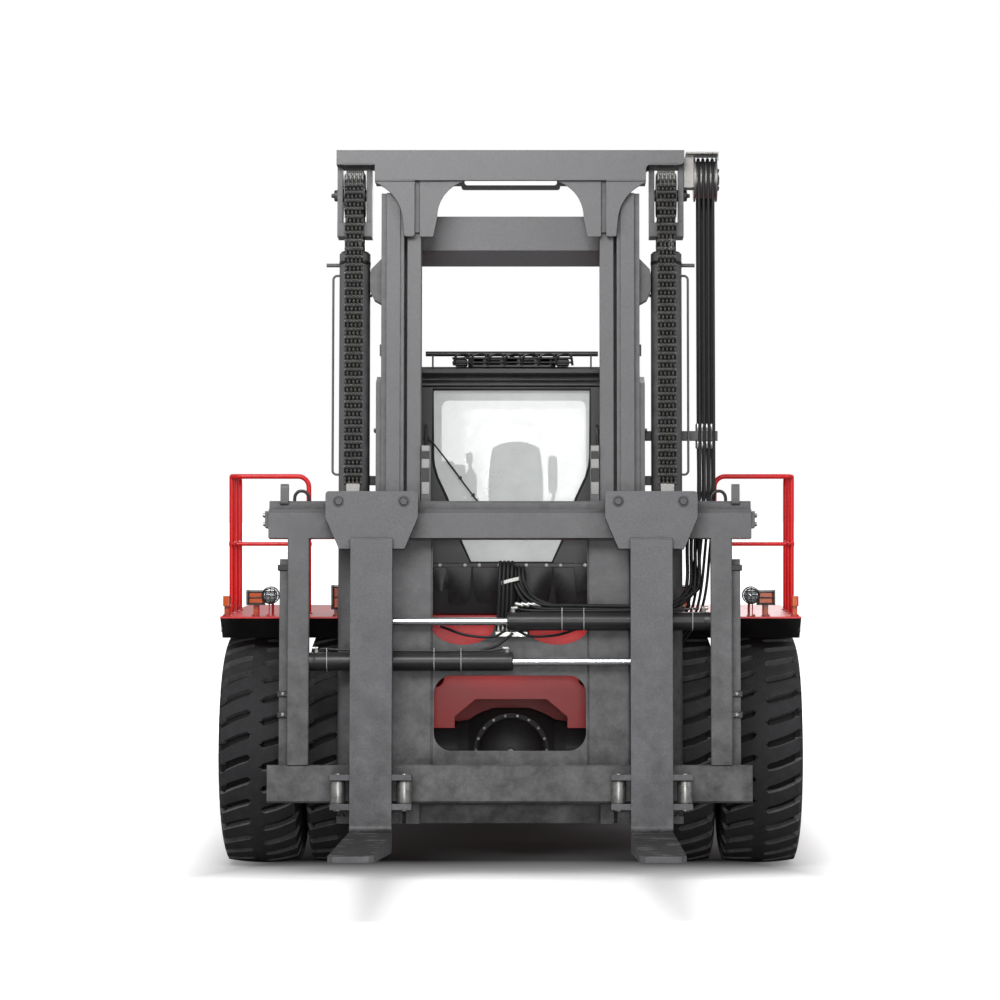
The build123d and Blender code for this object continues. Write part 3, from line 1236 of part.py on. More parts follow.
# Carriage: hook bar, lower bar, posts, inner columns with rollers, back panel and chain anchors
carriage_roller_radius = inner_rail_depth / 2 - inner_flange - roller_gap
column_x = (inner_rail_inner_x - 64, inner_rail_inner_x - 6)
column_top = inner_rail_top - 1810
panel_x = (528, 803)
plate_front_y = -1150
panel_top = 1665
with BuildPart(truck) as carriage_frame:
    upper_section = (
        (bar_front_y, upper_bar[0]),
        (bar_front_y, upper_bar[1] - 30),
        (bar_front_y + 30, upper_bar[1]),
        (bar_front_y + 55, upper_bar[1]),
        (bar_front_y + 55, upper_bar[1] - 70),
        (bar_front_y + 90, upper_bar[1] - 70),
        (bar_front_y + 90, upper_beam_top - 15),
        (bar_front_y + 105, upper_beam_top),
        (bar_rear_y, upper_beam_top),
        (bar_rear_y, upper_bar[0]),
    )
    plate(side_view(-bar_half_width), upper_section, 2 * bar_half_width)
    lower_section = (
        (bar_front_y, lower_bar[0] + 12),
        (bar_front_y, lower_bar[1] - 12),
        (bar_front_y + 12, lower_bar[1]),
        (bar_rear_y, lower_bar[1]),
        (bar_rear_y, lower_bar[0]),
        (bar_front_y + 12, lower_bar[0]),
    )
    plate(side_view(-bar_half_width), lower_section, 2 * bar_half_width)
    between_bars = (lower_bar[1] - 1, upper_bar[0] + 1)
    for side, sign in SIDES:
        block((sign * post_inner_x, sign * post_outer_x), (bar_front_y, bar_rear_y), between_bars)
        flange_x = sorted((sign * (post_outer_x - 1), sign * (post_outer_x + 62)))
        flange_front = bar_front_y + 45
        flange_foot = ((flange_front, lower_bar[1] - 1), (flange_front + 25, lower_bar[1] - 1))
        flange = (*flange_foot, (flange_front + 25, 2110), (flange_front, 2060))
        plate(side_view(flange_x[0]), flange, flange_x[1] - flange_x[0])
        block((sign * panel_x[0], sign * panel_x[1]), (plate_front_y, bar_rear_y), between_bars)
        column = (sign * column_x[0], sign * column_x[1])
        block(column, (mast_middle_y - 132, mast_middle_y + 78), (500, column_top))
        spacer_x = (sign * panel_x[0], sign * (column_x[1] - 10))
        block(spacer_x, (bar_rear_y - 1, mast_middle_y - 130), (500, 2460))
        for z in (600, 1650, column_top - 140):
            roller_x = (sign * (column_x[1] - 5), sign * (column_x[1] + 23))
            cross_rod(roller_x, mast_middle_y, z, carriage_roller_radius)
        anchor_x = (sign * (cylinder_x - 70), sign * (cylinder_x + 70))
        block(anchor_x, (chain_y - 33, bar_rear_y + 30), (upper_beam_top - 5, chain_anchor_z - seat_gap))
        stop_x = (sign * (bar_half_width - 17), sign * (bar_half_width + 23))
        block(stop_x, (bar_front_y + 10, bar_rear_y - 10), (2320, 2430))
        lifting_ear = sorted((sign * (post_outer_x + 9), sign * (post_outer_x + 62)))
        ear_middle = ((bar_front_y + bar_rear_y) / 2 + 38, upper_beam_top + 40)
        ear_thickness = lifting_ear[1] - lifting_ear[0]
        rounded_box(side_view(lifting_ear[0]), ear_middle, (76, 152), 30, ear_thickness)
        hole_z = upper_beam_top + 76
        cross_rod((lifting_ear[0] - 1, lifting_ear[1] + 1), ear_middle[0], hole_z, 20, Mode.SUBTRACT)
    with BuildSketch(front_view(bar_rear_y)) as back_panel:
        with Locations((0, (lower_bar[1] + panel_top) / 2)):
            Rectangle(2 * panel_x[0] + 4, panel_top - lower_bar[1])
        with Locations((0, 1073)):
            RectangleRounded(1026, 506, 120, mode=Mode.SUBTRACT)
        for x in (-318, 318):
            with Locations((x, panel_top)):
                Ellipse(213, 130, mode=Mode.SUBTRACT)
    extrude(back_panel.sketch, amount=25)
carriage_frame.part.move(mast_lean)
carriage_frame.part.label = "carriage_frame"
export_step(carriage_frame.part, "parts/carriage_frame.step")

# Fork positioner: the barrels are on the carriage, and each rod is on its fork
positioners = (("right", -1, upper_positioner_z), ("left", 1, lower_positioner_z))
barrel_mouth = 15
with BuildPart(truck) as positioner_barrels:
    for side, sign, z in positioners:
        mouth = sign * barrel_mouth
        far = -sign * (post_inner_x - seat_gap)
        cross_rod((mouth, far), positioner_y, z, positioner_radius)
        inside = (mouth - sign * gland, far + sign * 40)
        cross_rod(inside, positioner_y, z, positioner_radius - positioner_wall, Mode.SUBTRACT)
        neck = (mouth + sign, inside[0] - sign)
        cross_rod(neck, positioner_y, z, positioner_rod + gland_fit, Mode.SUBTRACT)
positioner_barrels.part.move(mast_lean)
positioner_barrels.part.label = "positioner_barrels"
export_step(positioner_barrels.part, "parts/positioner_barrels.step")

# Forks, each with its hook plate, guide rollers for the lower bar and the lug for its rod
heel_outside = 120
heel_inside = 50
hook_taper_z = hook_bottom + 212
hook_foot_half = 220
tongue = (bar_front_y + 60, bar_front_y + 85)
guide_x = 222
guide_radius = 50
guide_plates = ((lower_bar[0] - 46, lower_bar[0] - 6), (lower_bar[1] - 103, lower_bar[1] - 65))
for side, sign, z in positioners:
    with BuildPart(truck) as positioner_rod_piece:
        lug_face = fork_places[side] - sign * (positioner_lug / 2 + seat_gap)
        cross_rod((lug_face, -sign * 400), positioner_y, z, positioner_rod)
    positioner_rod_piece.part.move(mast_lean)
    positioner_rod_piece.part.label = f"positioner_rod_{side}"
    export_step(positioner_rod_piece.part, f"parts/positioner_rod_{side}.step")

    with BuildPart(truck) as fork:
        x = fork_places[side]
        blade_top = fork_bottom + fork_heel
        tip_y = fork_face_y - fork_length
        slope = (fork_heel - fork_tip) / fork_length
        with BuildSketch(side_view(x - fork_width / 2)) as profile:
            with BuildLine():
                diagonal = math.sqrt(0.5)
                heel_mid = (
                    shank_back_y - heel_outside * (1 - diagonal),
                    fork_bottom + heel_outside * (1 - diagonal),
                )
                crook_start = (fork_face_y, blade_top + heel_inside)
                crook_end = (fork_face_y - heel_inside, blade_top - slope * heel_inside)
                crook_mid = (
                    fork_face_y - heel_inside * (1 - diagonal),
                    blade_top + heel_inside * (1 - diagonal) - slope * heel_inside,
                )
                Line((shank_back_y, hook_bottom + 60), (shank_back_y, fork_bottom + heel_outside))
                ThreePointArc(
                    (shank_back_y, fork_bottom + heel_outside),
                    heel_mid,
                    (shank_back_y - heel_outside, fork_bottom),
                )
                Polyline(
                    (shank_back_y - heel_outside, fork_bottom),
                    (tip_y, fork_bottom),
                    (tip_y, fork_bottom + fork_tip),
                    crook_end,
                )
                ThreePointArc(crook_end, crook_mid, crook_start)
                Polyline(crook_start, (fork_face_y, hook_bottom + 60), (shank_back_y, hook_bottom + 60))
            make_face()
        extrude(profile.sketch, amount=fork_width)
        chamfer(fork.edges().filter_by(Axis.Z).group_by(Axis.Y)[0], length=fork_corner)
        with BuildSketch(front_view(shank_back_y)) as hook_outline:
            with BuildLine():
                Polyline(
                    (x - hook_half_width, hook_top),
                    (x - hook_half_width, hook_taper_z),
                    (x - hook_foot_half, hook_bottom),
                    (x + hook_foot_half, hook_bottom),
                    (x + hook_half_width, hook_taper_z),
                    (x + hook_half_width, hook_top),
                    close=True,
                )
            make_face()
            fillet(hook_outline.vertices().sort_by(Axis.Y)[-2:], radius=24)
        extrude(hook_outline.sketch, amount=shank_thickness - 20)
        hook_x = (x - hook_half_width + 10, x + hook_half_width - 10)
        block(hook_x, (shank_back_y - 10, tongue[1]), (upper_bar[1] + hook_seat, hook_top - 10))
        block(hook_x, tongue, (upper_bar[1] - 55, upper_bar[1] + 15))
        guide_room = (fork_face_y + 5, shank_back_y)
        for low, high in guide_plates:
            block((x - 272, x + 272), guide_room, (low, high))
        for offset in (-guide_x, guide_x):
            place = (x + offset, bar_front_y - guide_radius - 5)
            rod((*place, guide_plates[0][1]), (*place, guide_plates[1][0]), guide_radius)
        half = positioner_lug / 2
        block((x - half, x + half), (shank_back_y - 1, positioner_y + 40), (z - half, z + half))
    fork.part.move(mast_lean)
    fork.part.label = f"fork_{side}"
    export_step(fork.part, f"parts/fork_{side}.step")

# Tilt cylinders, drawn between the chassis pin and the leaned mast's pin
eye_from_pivot = (tilt_eye_y - pivot_y, tilt_eye_z - pivot_z)
eye_y = pivot_y + eye_from_pivot[0] * lean_cos + eye_from_pivot[1] * lean_sin
eye_z = pivot_z - eye_from_pivot[0] * lean_sin + eye_from_pivot[1] * lean_cos
for side, sign in SIDES:
    pin = Vector(sign * tilt_x, tilt_pin_y, tilt_pin_z)
    eye = Vector(sign * tilt_x, eye_y, eye_z)
    along = (eye - pin).normalized()
    across = Vector(1, 0, 0)
    with BuildPart(truck) as tilt_barrel:
        rod(pin + along * 55, pin + along * 940, tilt_barrel_radius)
        rod(pin + along * 200, pin + along * 890, tilt_barrel_radius - 25, Mode.SUBTRACT)
        rod(pin + along * 880, pin + along * 941, tilt_rod_radius + gland_fit, Mode.SUBTRACT)
        rod(pin - across * 50, pin + across * 50, 70)
        rod(pin - across * 51, pin + across * 51, tilt_pin_radius + stub_fit, Mode.SUBTRACT)
    tilt_barrel.part.label = f"tilt_barrel_{side}"
    export_step(tilt_barrel.part, f"parts/tilt_barrel_{side}.step")

    with BuildPart(truck) as tilt_rod:
        rod(pin + along * 560, eye - along * 50, tilt_rod_radius)
        rod(eye - across * 36, eye + across * 36, 66)
        rod(eye - across * 37, eye + across * 37, tilt_pin_radius + 4, Mode.SUBTRACT)
    tilt_rod.part.label = f"tilt_rod_{side}"
    export_step(tilt_rod.part, f"parts/tilt_rod_{side}.step")
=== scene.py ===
import itertools
import json
import math
import random

import bmesh
import bpy
from mathutils import Matrix, Vector


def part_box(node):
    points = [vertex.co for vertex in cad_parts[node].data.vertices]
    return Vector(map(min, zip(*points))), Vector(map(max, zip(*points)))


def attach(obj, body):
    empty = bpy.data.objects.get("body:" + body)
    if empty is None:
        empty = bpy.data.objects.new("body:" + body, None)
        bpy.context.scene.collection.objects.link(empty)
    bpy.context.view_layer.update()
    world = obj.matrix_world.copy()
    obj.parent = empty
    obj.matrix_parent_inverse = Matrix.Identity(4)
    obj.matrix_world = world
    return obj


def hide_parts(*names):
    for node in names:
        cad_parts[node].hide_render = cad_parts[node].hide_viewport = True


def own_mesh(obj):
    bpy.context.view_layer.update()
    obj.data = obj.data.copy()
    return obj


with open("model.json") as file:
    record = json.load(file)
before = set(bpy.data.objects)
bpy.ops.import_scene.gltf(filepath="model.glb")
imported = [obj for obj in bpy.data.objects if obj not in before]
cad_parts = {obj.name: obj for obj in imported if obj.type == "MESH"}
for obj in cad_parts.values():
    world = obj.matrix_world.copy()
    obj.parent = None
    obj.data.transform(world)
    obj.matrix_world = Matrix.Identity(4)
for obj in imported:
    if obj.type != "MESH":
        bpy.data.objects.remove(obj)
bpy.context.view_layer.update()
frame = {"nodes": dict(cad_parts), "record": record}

# Heavy counterbalance forklift. Metres, +X is the driver's left, the forks point to -Y, +Z is up.
SIDES = (("left", 1), ("right", -1))
SIGNS = (1, -1)
LEFT = Vector((1, 0, 0))
BACK = Vector((0, 1, 0))
UP = Vector((0, 0, 1))
PIVOT_BEHIND_AXLE = -0.56
PIVOT_HEIGHT = 0.7
REST_LEAN = math.radians(4.5)


def middle(node):
    """The centre of a node's box at rest."""
    low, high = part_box(node)
    return Vector((a + b) / 2 for a, b in zip(low, high))


AXLE_Y, AXLE_Z = middle("front_tyres_left")[1:]

# Camera
CAMERA_SIDE = 0.27
CAMERA_HEIGHT = 2.69
CAMERA_TO_AXLE = 25.5
FOCAL_LENGTH = 130.2
SENSOR_WIDTH = 36
VIEW_SHIFT = (-0.05, -0.02)


def set_camera():
    """The photograph's view: level, from the front, a little to the driver's left."""
    data = bpy.data.cameras.new("front_view")
    data.lens = FOCAL_LENGTH
    data.sensor_width = SENSOR_WIDTH
    data.shift_x, data.shift_y = VIEW_SHIFT
    camera = bpy.data.objects.new("front_view", data)
    camera.location = (CAMERA_SIDE, AXLE_Y - CAMERA_TO_AXLE, CAMERA_HEIGHT)
    camera.rotation_euler = (math.radians(90), 0, 0)
    bpy.context.scene.collection.objects.link(camera)
    bpy.context.scene.camera = camera


set_camera()


# Shader building
def put(tree, socket, value):
    """Links a socket to another node's output, or sets it to a value."""
    if isinstance(value, bpy.types.NodeSocket):
        tree.links.new(value, socket)
    else:
        socket.default_value = value


def add(tree, kind, inputs=None, **settings):
    """A shader node with its settings, whose inputs are values or other nodes' output sockets."""
    made = tree.nodes.new(kind)
    for name, value in settings.items():
        setattr(made, name, value)
    for name, value in (inputs or {}).items():
        put(tree, made.inputs[name], value)
    return made


def math_node(tree, operation, first, second=0.0, clamp=False):
    """The result socket of one sum."""
    return add(tree, "ShaderNodeMath", {0: first, 1: second}, operation=operation, use_clamp=clamp).outputs[0]


def total(tree, first, second, clamp=False):
    """The socket of two values added up."""
    return math_node(tree, "ADD", first, second, clamp)


def product(tree, first, second, clamp=False):
    """The socket of one value times another."""
    return math_node(tree, "MULTIPLY", first, second, clamp)


def blend_colours(tree, share, low, high):
    """The colour socket of a mix of two colours."""
    made = add(tree, "ShaderNodeMix", data_type="RGBA")
    for index, value in ((0, share), (6, low), (7, high)):
        put(tree, made.inputs[index], value)
    return made.outputs[2]


def remap(tree, value, low, high, to_low=0.0, to_high=1.0):
    """A value's range stretched to another range, and clamped."""
    inputs = {"Value": value, "From Min": low, "From Max": high, "To Min": to_low, "To Max": to_high}
    return add(tree, "ShaderNodeMapRange", inputs).outputs["Result"]


def object_place(tree):
    """The socket with a point's place in the row frame at rest."""
    return add(tree, "ShaderNodeTexCoord").outputs["Object"]


def part_of(tree, vector, axis):
    """One of the three parts of a vector."""
    return add(tree, "ShaderNodeSeparateXYZ", {"Vector": vector}).outputs[axis]


def noise(tree, scale, detail=3.0, roughness=0.55, stretch=None):
    """The grey socket of a noise on the object's own place."""
    place = object_place(tree)
    if stretch:
        place = add(tree, "ShaderNodeMapping", {"Vector": place, "Scale": stretch}).outputs["Vector"]
    inputs = {"Vector": place, "Scale": scale, "Detail": detail, "Roughness": roughness}
    return add(tree, "ShaderNodeTexNoise", inputs).outputs["Fac"]


def wave(tree, scale, distortion, direction):
    """The grey socket of even bands across one direction."""
    inputs = {"Vector": object_place(tree), "Scale": scale, "Distortion": distortion}
    return add(tree, "ShaderNodeTexWave", inputs, bands_direction=direction).outputs["Fac"]


def effect(name, inputs, outputs):
    """A new shader group with named sockets, and its two end nodes."""
    tree = bpy.data.node_groups.new(name, "ShaderNodeTree")
    kinds = {"colour": "NodeSocketColor", "value": "NodeSocketFloat", "vector": "NodeSocketVector"}
    for label, kind, value in inputs:
        socket = tree.interface.new_socket(label, in_out="INPUT", socket_type=kinds[kind])
        socket.default_value = value
    for label, kind in outputs:
        tree.interface.new_socket(label, in_out="OUTPUT", socket_type=kinds[kind])
    return tree, tree.nodes.new("NodeGroupInput").outputs, tree.nodes.new("NodeGroupOutput").inputs


def colour(red, green, blue):
    """A linear colour from its values on a 0 to 255 screen scale."""
    def linear(value):
        share = value / 255
        return share / 12.92 if share <= 0.04045 else ((share + 0.055) / 1.055) ** 2.4

    return (linear(red), linear(green), linear(blue), 1)


def toned(tint, share, lift=0.0):
    """A colour made darker or lighter by a share of itself, and lifted."""
    return tuple(min(1, share * part + lift) for part in tint[:3]) + (1,)


# Effects that several finishes share
BASE_GREY = (0.2, 0.2, 0.2, 1)
CREVICE_SHADE_BLACK = (0.004, 0.004, 0.004, 1)
WHITE = (1, 1, 1, 1)


def make_rounded_edges():
    """Softens hard edges, and gives a mask of edges that are lightened, as rubbed paint and as a painted
    highlight along them.
    """
    tree, given, out = effect(
        "rounded_edges",
        (("Radius", "value", 0.004), ("Rub", "value", 0.5), ("Patch Size", "value", 9.0)),
        (("Normal", "vector"), ("Rubbed", "value")),
    )
    bevel = add(tree, "ShaderNodeBevel", {"Radius": given["Radius"]}, samples=4)
    flat = add(tree, "ShaderNodeNewGeometry").outputs["Normal"]
    facing = add(tree, "ShaderNodeVectorMath", {0: bevel.outputs[0], 1: flat}, operation="DOT_PRODUCT")
    edge = remap(tree, facing.outputs["Value"], 0.995, 0.86)
    broken = remap(tree, noise(tree, given["Patch Size"], 4.0, 0.5), 0.42, 0.62)
    put(tree, out["Normal"], bevel.outputs[0])
    put(tree, out["Rubbed"], product(tree, product(tree, edge, broken), given["Rub"], clamp=True))
    return tree


def make_sprayed_paint():
    """Uneven paint: broad tone changes, fine specks, and the skin of a sprayed coat."""
    tree, given, out = effect(
        "sprayed_paint",
        (
            ("Paint", "colour", BASE_GREY),
            ("Tone Change", "value", 0.15),
            ("Speck", "value", 0.1),
            ("Skin Size", "value", 260.0),
            ("Roughness", "value", 0.42),
        ),
        (("Colour", "colour"), ("Roughness", "value"), ("Height", "value")),
    )
    broad = remap(tree, noise(tree, 1.7, 5.0, 0.6), 0.3, 0.7, -1, 1)
    fine = remap(tree, noise(tree, 85.0, 4.0, 0.7), 0.3, 0.7, -1, 1)
    broad_part = product(tree, broad, given["Tone Change"])
    value = total(tree, total(tree, broad_part, product(tree, fine, given["Speck"])), 1.0)
    varied = add(tree, "ShaderNodeHueSaturation", {"Color": given["Paint"], "Value": value})
    rough = total(tree, given["Roughness"], product(tree, broad_part, 0.5), clamp=True)
    put(tree, out["Colour"], varied.outputs["Color"])
    put(tree, out["Roughness"], rough)
    put(tree, out["Height"], noise(tree, given["Skin Size"], 1.0, 0.5))
    return tree


def make_dust_and_shade():
    """Dust on what faces up and on what is near the ground. With a dark tone in place of pale dust it is
    painted shade, darker on top faces and towards the ground.
    """
    tree, given, out = effect(
        "dust_and_painted_shade",
        (
            ("Surface", "colour", BASE_GREY),
            ("Dust", "colour", (0.32, 0.3, 0.27, 1)),
            ("On Top", "value", 0.25),
            ("Near Ground", "value", 0.3),
            ("Reach", "value", 0.9),
        ),
        (("Colour", "colour"), ("Cover", "value")),
    )
    height = part_of(tree, object_place(tree), "Z")
    low = math_node(tree, "SUBTRACT", 1.0, math_node(tree, "DIVIDE", height, given["Reach"]), clamp=True)
    normal = add(tree, "ShaderNodeNewGeometry").outputs["Normal"]
    up = remap(tree, part_of(tree, normal, "Z"), 0.55, 1.0)
    cloudy = remap(tree, noise(tree, 6.5, 6.0, 0.7), 0.3, 0.72)
    amount = total(tree, product(tree, up, given["On Top"]), product(tree, low, given["Near Ground"]))
    cover = product(tree, amount, cloudy, clamp=True)
    put(tree, out["Colour"], blend_colours(tree, cover, given["Surface"], given["Dust"]))
    put(tree, out["Cover"], cover)
    return tree


def make_crevice_shade():
    """Painted shade: darkens corners and the undersides of ledges, where less light reaches, with a ragged
    edge.
    """
    tree, given, out = effect(
        "crevice_painted_shade",
        (("Surface", "colour", BASE_GREY), ("Reach", "value", 0.16), ("Amount", "value", 0.6)),
        (("Colour", "colour"),),
    )
    # painted shade: the colour darkens where little is open around a point, in corners and under ledges
    hidden = add(tree, "ShaderNodeAmbientOcclusion", {"Distance": given["Reach"]}, samples=6)
    ragged = remap(tree, noise(tree, 14.0, 5.0, 0.5), 0.3, 0.7, -0.12, 0.12)
    open_share = total(tree, hidden.outputs["AO"], ragged, clamp=True)
    corner_shade = product(tree, remap(tree, open_share, 0.9, 0.25), given["Amount"])
    put(tree, out["Colour"], blend_colours(tree, corner_shade, given["Surface"], CREVICE_SHADE_BLACK))
    return tree


ROUNDED_EDGES = make_rounded_edges()
CREVICE_SHADE = make_crevice_shade()
SPRAYED_PAINT = make_sprayed_paint()
DUST_AND_SHADE = make_dust_and_shade()


def fill_sockets(tree, node, sockets):
    """Fills a node's inputs by name; the names have _ for a space."""
    for name, value in sockets.items():
        put(tree, node.inputs[name.replace("_", " ")], value)


def use(tree, group, **sockets):
    """A shader group placed in a material."""
    made = tree.nodes.new("ShaderNodeGroup")
    made.node_tree = group
    fill_sockets(tree, made, sockets)
    return made.outputs


def new_finish(name, **sockets):
    """A material, its tree, and its shader with plain values on the shader's own sockets."""
    made = bpy.data.materials.new(name)
    made.use_nodes = True
    tree = made.node_tree
    shader = tree.nodes["Principled BSDF"]
    fill_sockets(tree, shader, sockets)
    return made, tree, shader


def set_bump(tree, shader, height, distance, strength=1.0, normal=None):
    """Feeds a height through a bump into the shader's normal."""
    inputs = {"Height": height, "Distance": distance, "Strength": strength}
    if normal:
        inputs["Normal"] = normal
    put(tree, shader.inputs["Normal"], add(tree, "ShaderNodeBump", inputs).outputs["Normal"])


# Finishes
# primer on rubbed edges, also standing in as a painted edge highlight
PRIMER_AND_HIGHLIGHT = colour(150, 146, 140)
DUST = colour(140, 134, 124)
# dark tone that grey_paint and fork_paint lay on top faces and towards the ground as painted shade
SHADE_TONE = colour(34, 33, 32)


def painted_steel(name, paint, roughness=0.42, edge_wear_and_light=0.35, speck=0.07, on_top=0.2, near_ground=0.25,
                  skin_depth=0.0006, coat=0.12, dust_and_shade_tone=DUST, corner_shade=0.7, shade_below=None, reach=0.9):
    """Sprayed steel plate with rubbed edges that also serve as a painted edge highlight, a tone on top faces
    and near the ground that is dust when pale and painted shade when dark, painted shade in corners, and
    where asked a near-black painted shade below a height.
    """
    made, tree, shader = new_finish(name, Specular_IOR_Level=0.42, Coat_Weight=coat, Coat_Roughness=0.3)
    sprayed = use(tree, SPRAYED_PAINT, Paint=paint, Tone_Change=0.1, Speck=speck, Roughness=roughness)
    edges = use(tree, ROUNDED_EDGES, Radius=0.005, Rub=edge_wear_and_light)
    # edges lighten to primer: rubbed paint, and a painted highlight along the edges
    edges_worn_and_lit = blend_colours(tree, edges["Rubbed"], sprayed["Colour"], PRIMER_AND_HIGHLIGHT)
    # dust where the tone is pale; painted shade on top faces and near the ground where it is dark
    dust_and_shade_out = use(tree, DUST_AND_SHADE, Surface=edges_worn_and_lit, Dust=dust_and_shade_tone, On_Top=on_top, Near_Ground=near_ground,
                Reach=reach)
    # painted shade in corners and under ledges
    shade = use(tree, CREVICE_SHADE, Surface=dust_and_shade_out["Colour"], Amount=corner_shade)["Colour"]
    # painted shade: below this height the paint turns to the given near-black tone
    if shade_below:
        level, shade_tone_below = shade_below
        below = math_node(tree, "LESS_THAN", part_of(tree, object_place(tree), "Z"), level)
        shade = blend_colours(tree, below, shade, shade_tone_below)
    dull = product(tree, dust_and_shade_out["Cover"], 0.35)
    rough = total(tree, sprayed["Roughness"], dull, clamp=True)
    fill_sockets(tree, shader, {"Base Color": shade, "Roughness": rough})
    set_bump(tree, shader, sprayed["Height"], skin_depth, 0.35, edges["Normal"])
    return made


def plated_rod(name, tint, roughness=0.12):
    """Hard chrome on a cylinder rod, with faint turning lines."""
    made, tree, shader = new_finish(name, Metallic=1.0, Specular_IOR_Level=0.5, Base_Color=tint)
    smears = noise(tree, 7.0, 6.0, 0.7, (1, 1, 0.25))
    put(tree, shader.inputs["Roughness"], remap(tree, smears, 0.3, 0.75, roughness, roughness + 0.18))
    set_bump(tree, shader, noise(tree, 900.0, 1.0), 0.0001, 0.3)
    return made


def bare_steel(name, tint, roughness=0.38, oil=0.4):
    """Worked steel, darkened by oil in patches."""
    made, tree, shader = new_finish(name, Metallic=0.85, Specular_IOR_Level=0.5)
    oily = noise(tree, 22.0, 5.0, 0.65)
    share = remap(tree, oily, 0.42, 0.68, 0.0, oil)
    shade = blend_colours(tree, share, tint, toned(tint, 0.35))
    rough = remap(tree, oily, 0.3, 0.7, roughness + 0.15, roughness - 0.1)
    fill_sockets(tree, shader, {"Base Color": shade, "Roughness": rough})
    edges = use(tree, ROUNDED_EDGES, Radius=0.002, Rub=0.0)
    set_bump(tree, shader, noise(tree, 420.0, 3.0), 0.0003, 0.5, edges["Normal"])
    return made


def black_rubber(name, tint, roughness=0.72, grain=1.0, near_ground=0.35, edge=0.2):
    """Moulded rubber with a fine grain, grey where it is scuffed, and lighter along its edges as wear and as
    a painted highlight.
    """
    made, tree, shader = new_finish(name, Specular_IOR_Level=0.35)
    scuffs = remap(tree, noise(tree, 16.0, 8.0, 0.75), 0.45, 0.75, 0.0, 0.55)
    edges = use(tree, ROUNDED_EDGES, Radius=0.004, Rub=edge, Patch_Size=30.0)
    scuffed = blend_colours(tree, scuffs, tint, toned(tint, 2.1, 0.01))
    # edges lighten: wear, and a painted highlight along the edges
    rubber_edges_worn_and_lit = blend_colours(tree, edges["Rubbed"], scuffed, toned(tint, 5, 0.02))
    dust_and_shade_out = use(tree, DUST_AND_SHADE, Surface=rubber_edges_worn_and_lit, Dust=DUST, On_Top=0.05, Near_Ground=near_ground, Reach=0.5)
    rough = remap(tree, scuffs, 0.0, 0.5, roughness, roughness + 0.12)
    fill_sockets(tree, shader, {"Base Color": dust_and_shade_out["Colour"], "Roughness": rough})
    set_bump(tree, shader, noise(tree, 260.0, 4.0, 0.7), 0.0009 * grain, 0.6, edges["Normal"])
    return made


def clear_glass(name, tint, alpha, painted_glare):
    """Thin tinted safety glass that shows what is behind it, and glows white as a painted glare."""
    made, tree, shader = new_finish(name, Roughness=0.03, IOR=1.45, Specular_IOR_Level=0.6, Base_Color=tint,
                                    Emission_Color=WHITE, Emission_Strength=painted_glare)
    film = remap(tree, noise(tree, 2.2, 5.0, 0.7), 0.35, 0.75, alpha, alpha + 0.08)
    put(tree, shader.inputs["Alpha"], film)
    return made


def woven_cloth(name, tint):
    """Seat cloth with a fine weave and a soft sheen."""
    made, tree, shader = new_finish(name, Roughness=0.9, Specular_IOR_Level=0.2, Sheen_Weight=0.35)
    weave = product(tree, wave(tree, 150.0, 0.6, "X"), wave(tree, 150.0, 0.6, "Z"))
    faded = remap(tree, noise(tree, 9.0, 5.0, 0.7), 0.35, 0.7, 0.0, 0.4)
    put(tree, shader.inputs["Base Color"], blend_colours(tree, faded, tint, toned(tint, 1.8)))
    set_bump(tree, shader, weave, 0.0008, 0.7)
    return made


def lamp_lens(name, tint):
    """Ribbed lamp glass over a bright reflector."""
    made, tree, shader = new_finish(name, Metallic=0.55, Roughness=0.12, Coat_Weight=1.0, Coat_Roughness=0.03)
    ribs = wave(tree, 55.0, 0.2, "X")
    put(tree, shader.inputs["Base Color"], blend_colours(tree, ribs, toned(tint, 0.5), tint))
    set_bump(tree, shader, ribs, 0.002, 0.6)
    return made


DECK_UNDERSIDE = 1.736
# grey_paint: darker towards the ground and a little on top faces as painted shade, with strong painted shade
# in corners
GREY_PAINT = painted_steel("grey_paint", colour(103, 103, 105), speck=0.12, edge_wear_and_light=0.6, on_top=0.05, dust_and_shade_tone=SHADE_TONE,
                           near_ground=1.1, reach=2.8, corner_shade=0.85)
# fork_paint: the dark tone on its top faces and towards the ground is painted shade
FORK_PAINT = painted_steel("fork_paint", colour(101, 101, 104), speck=0.2, edge_wear_and_light=0.7, on_top=1.6, dust_and_shade_tone=SHADE_TONE,
                           near_ground=0.7, reach=2.8, skin_depth=0.0016)
RED_PAINT = painted_steel("red_paint", colour(230, 26, 30), roughness=0.34, coat=0.2, on_top=0.05,
                          near_ground=0.1)
# deck_paint: near black below the deck's underside, as painted shade on the apron that faces down
DECK_PAINT = painted_steel("deck_paint", colour(232, 44, 48), roughness=0.3, coat=0.5,
                           shade_below=(DECK_UNDERSIDE, colour(18, 14, 14)))
BLACK_PAINT = painted_steel("black_paint", colour(34, 34, 36), roughness=0.38, edge_wear_and_light=0.15, coat=0.2,
                            on_top=0.12)
CAST_IRON = painted_steel("cast_iron", colour(58, 58, 60), roughness=0.6, edge_wear_and_light=0.2, speck=0.16,
                          skin_depth=0.002)
RIM_PAINT = painted_steel("rim_paint", colour(92, 92, 94), roughness=0.5, near_ground=0.4)
CHROME = plated_rod("chrome_rod", colour(226, 227, 230))
STEEL = bare_steel("steel", colour(150, 148, 145))
TYRE_RUBBER = black_rubber("tyre_rubber", colour(40, 40, 42), near_ground=0.12, edge=0.9)
# near black on the slot bottoms as painted shade in the recesses
SLOT_SHADE_RUBBER = black_rubber("slot_painted_shade", colour(8, 8, 9), near_ground=0.02, edge=0.0)
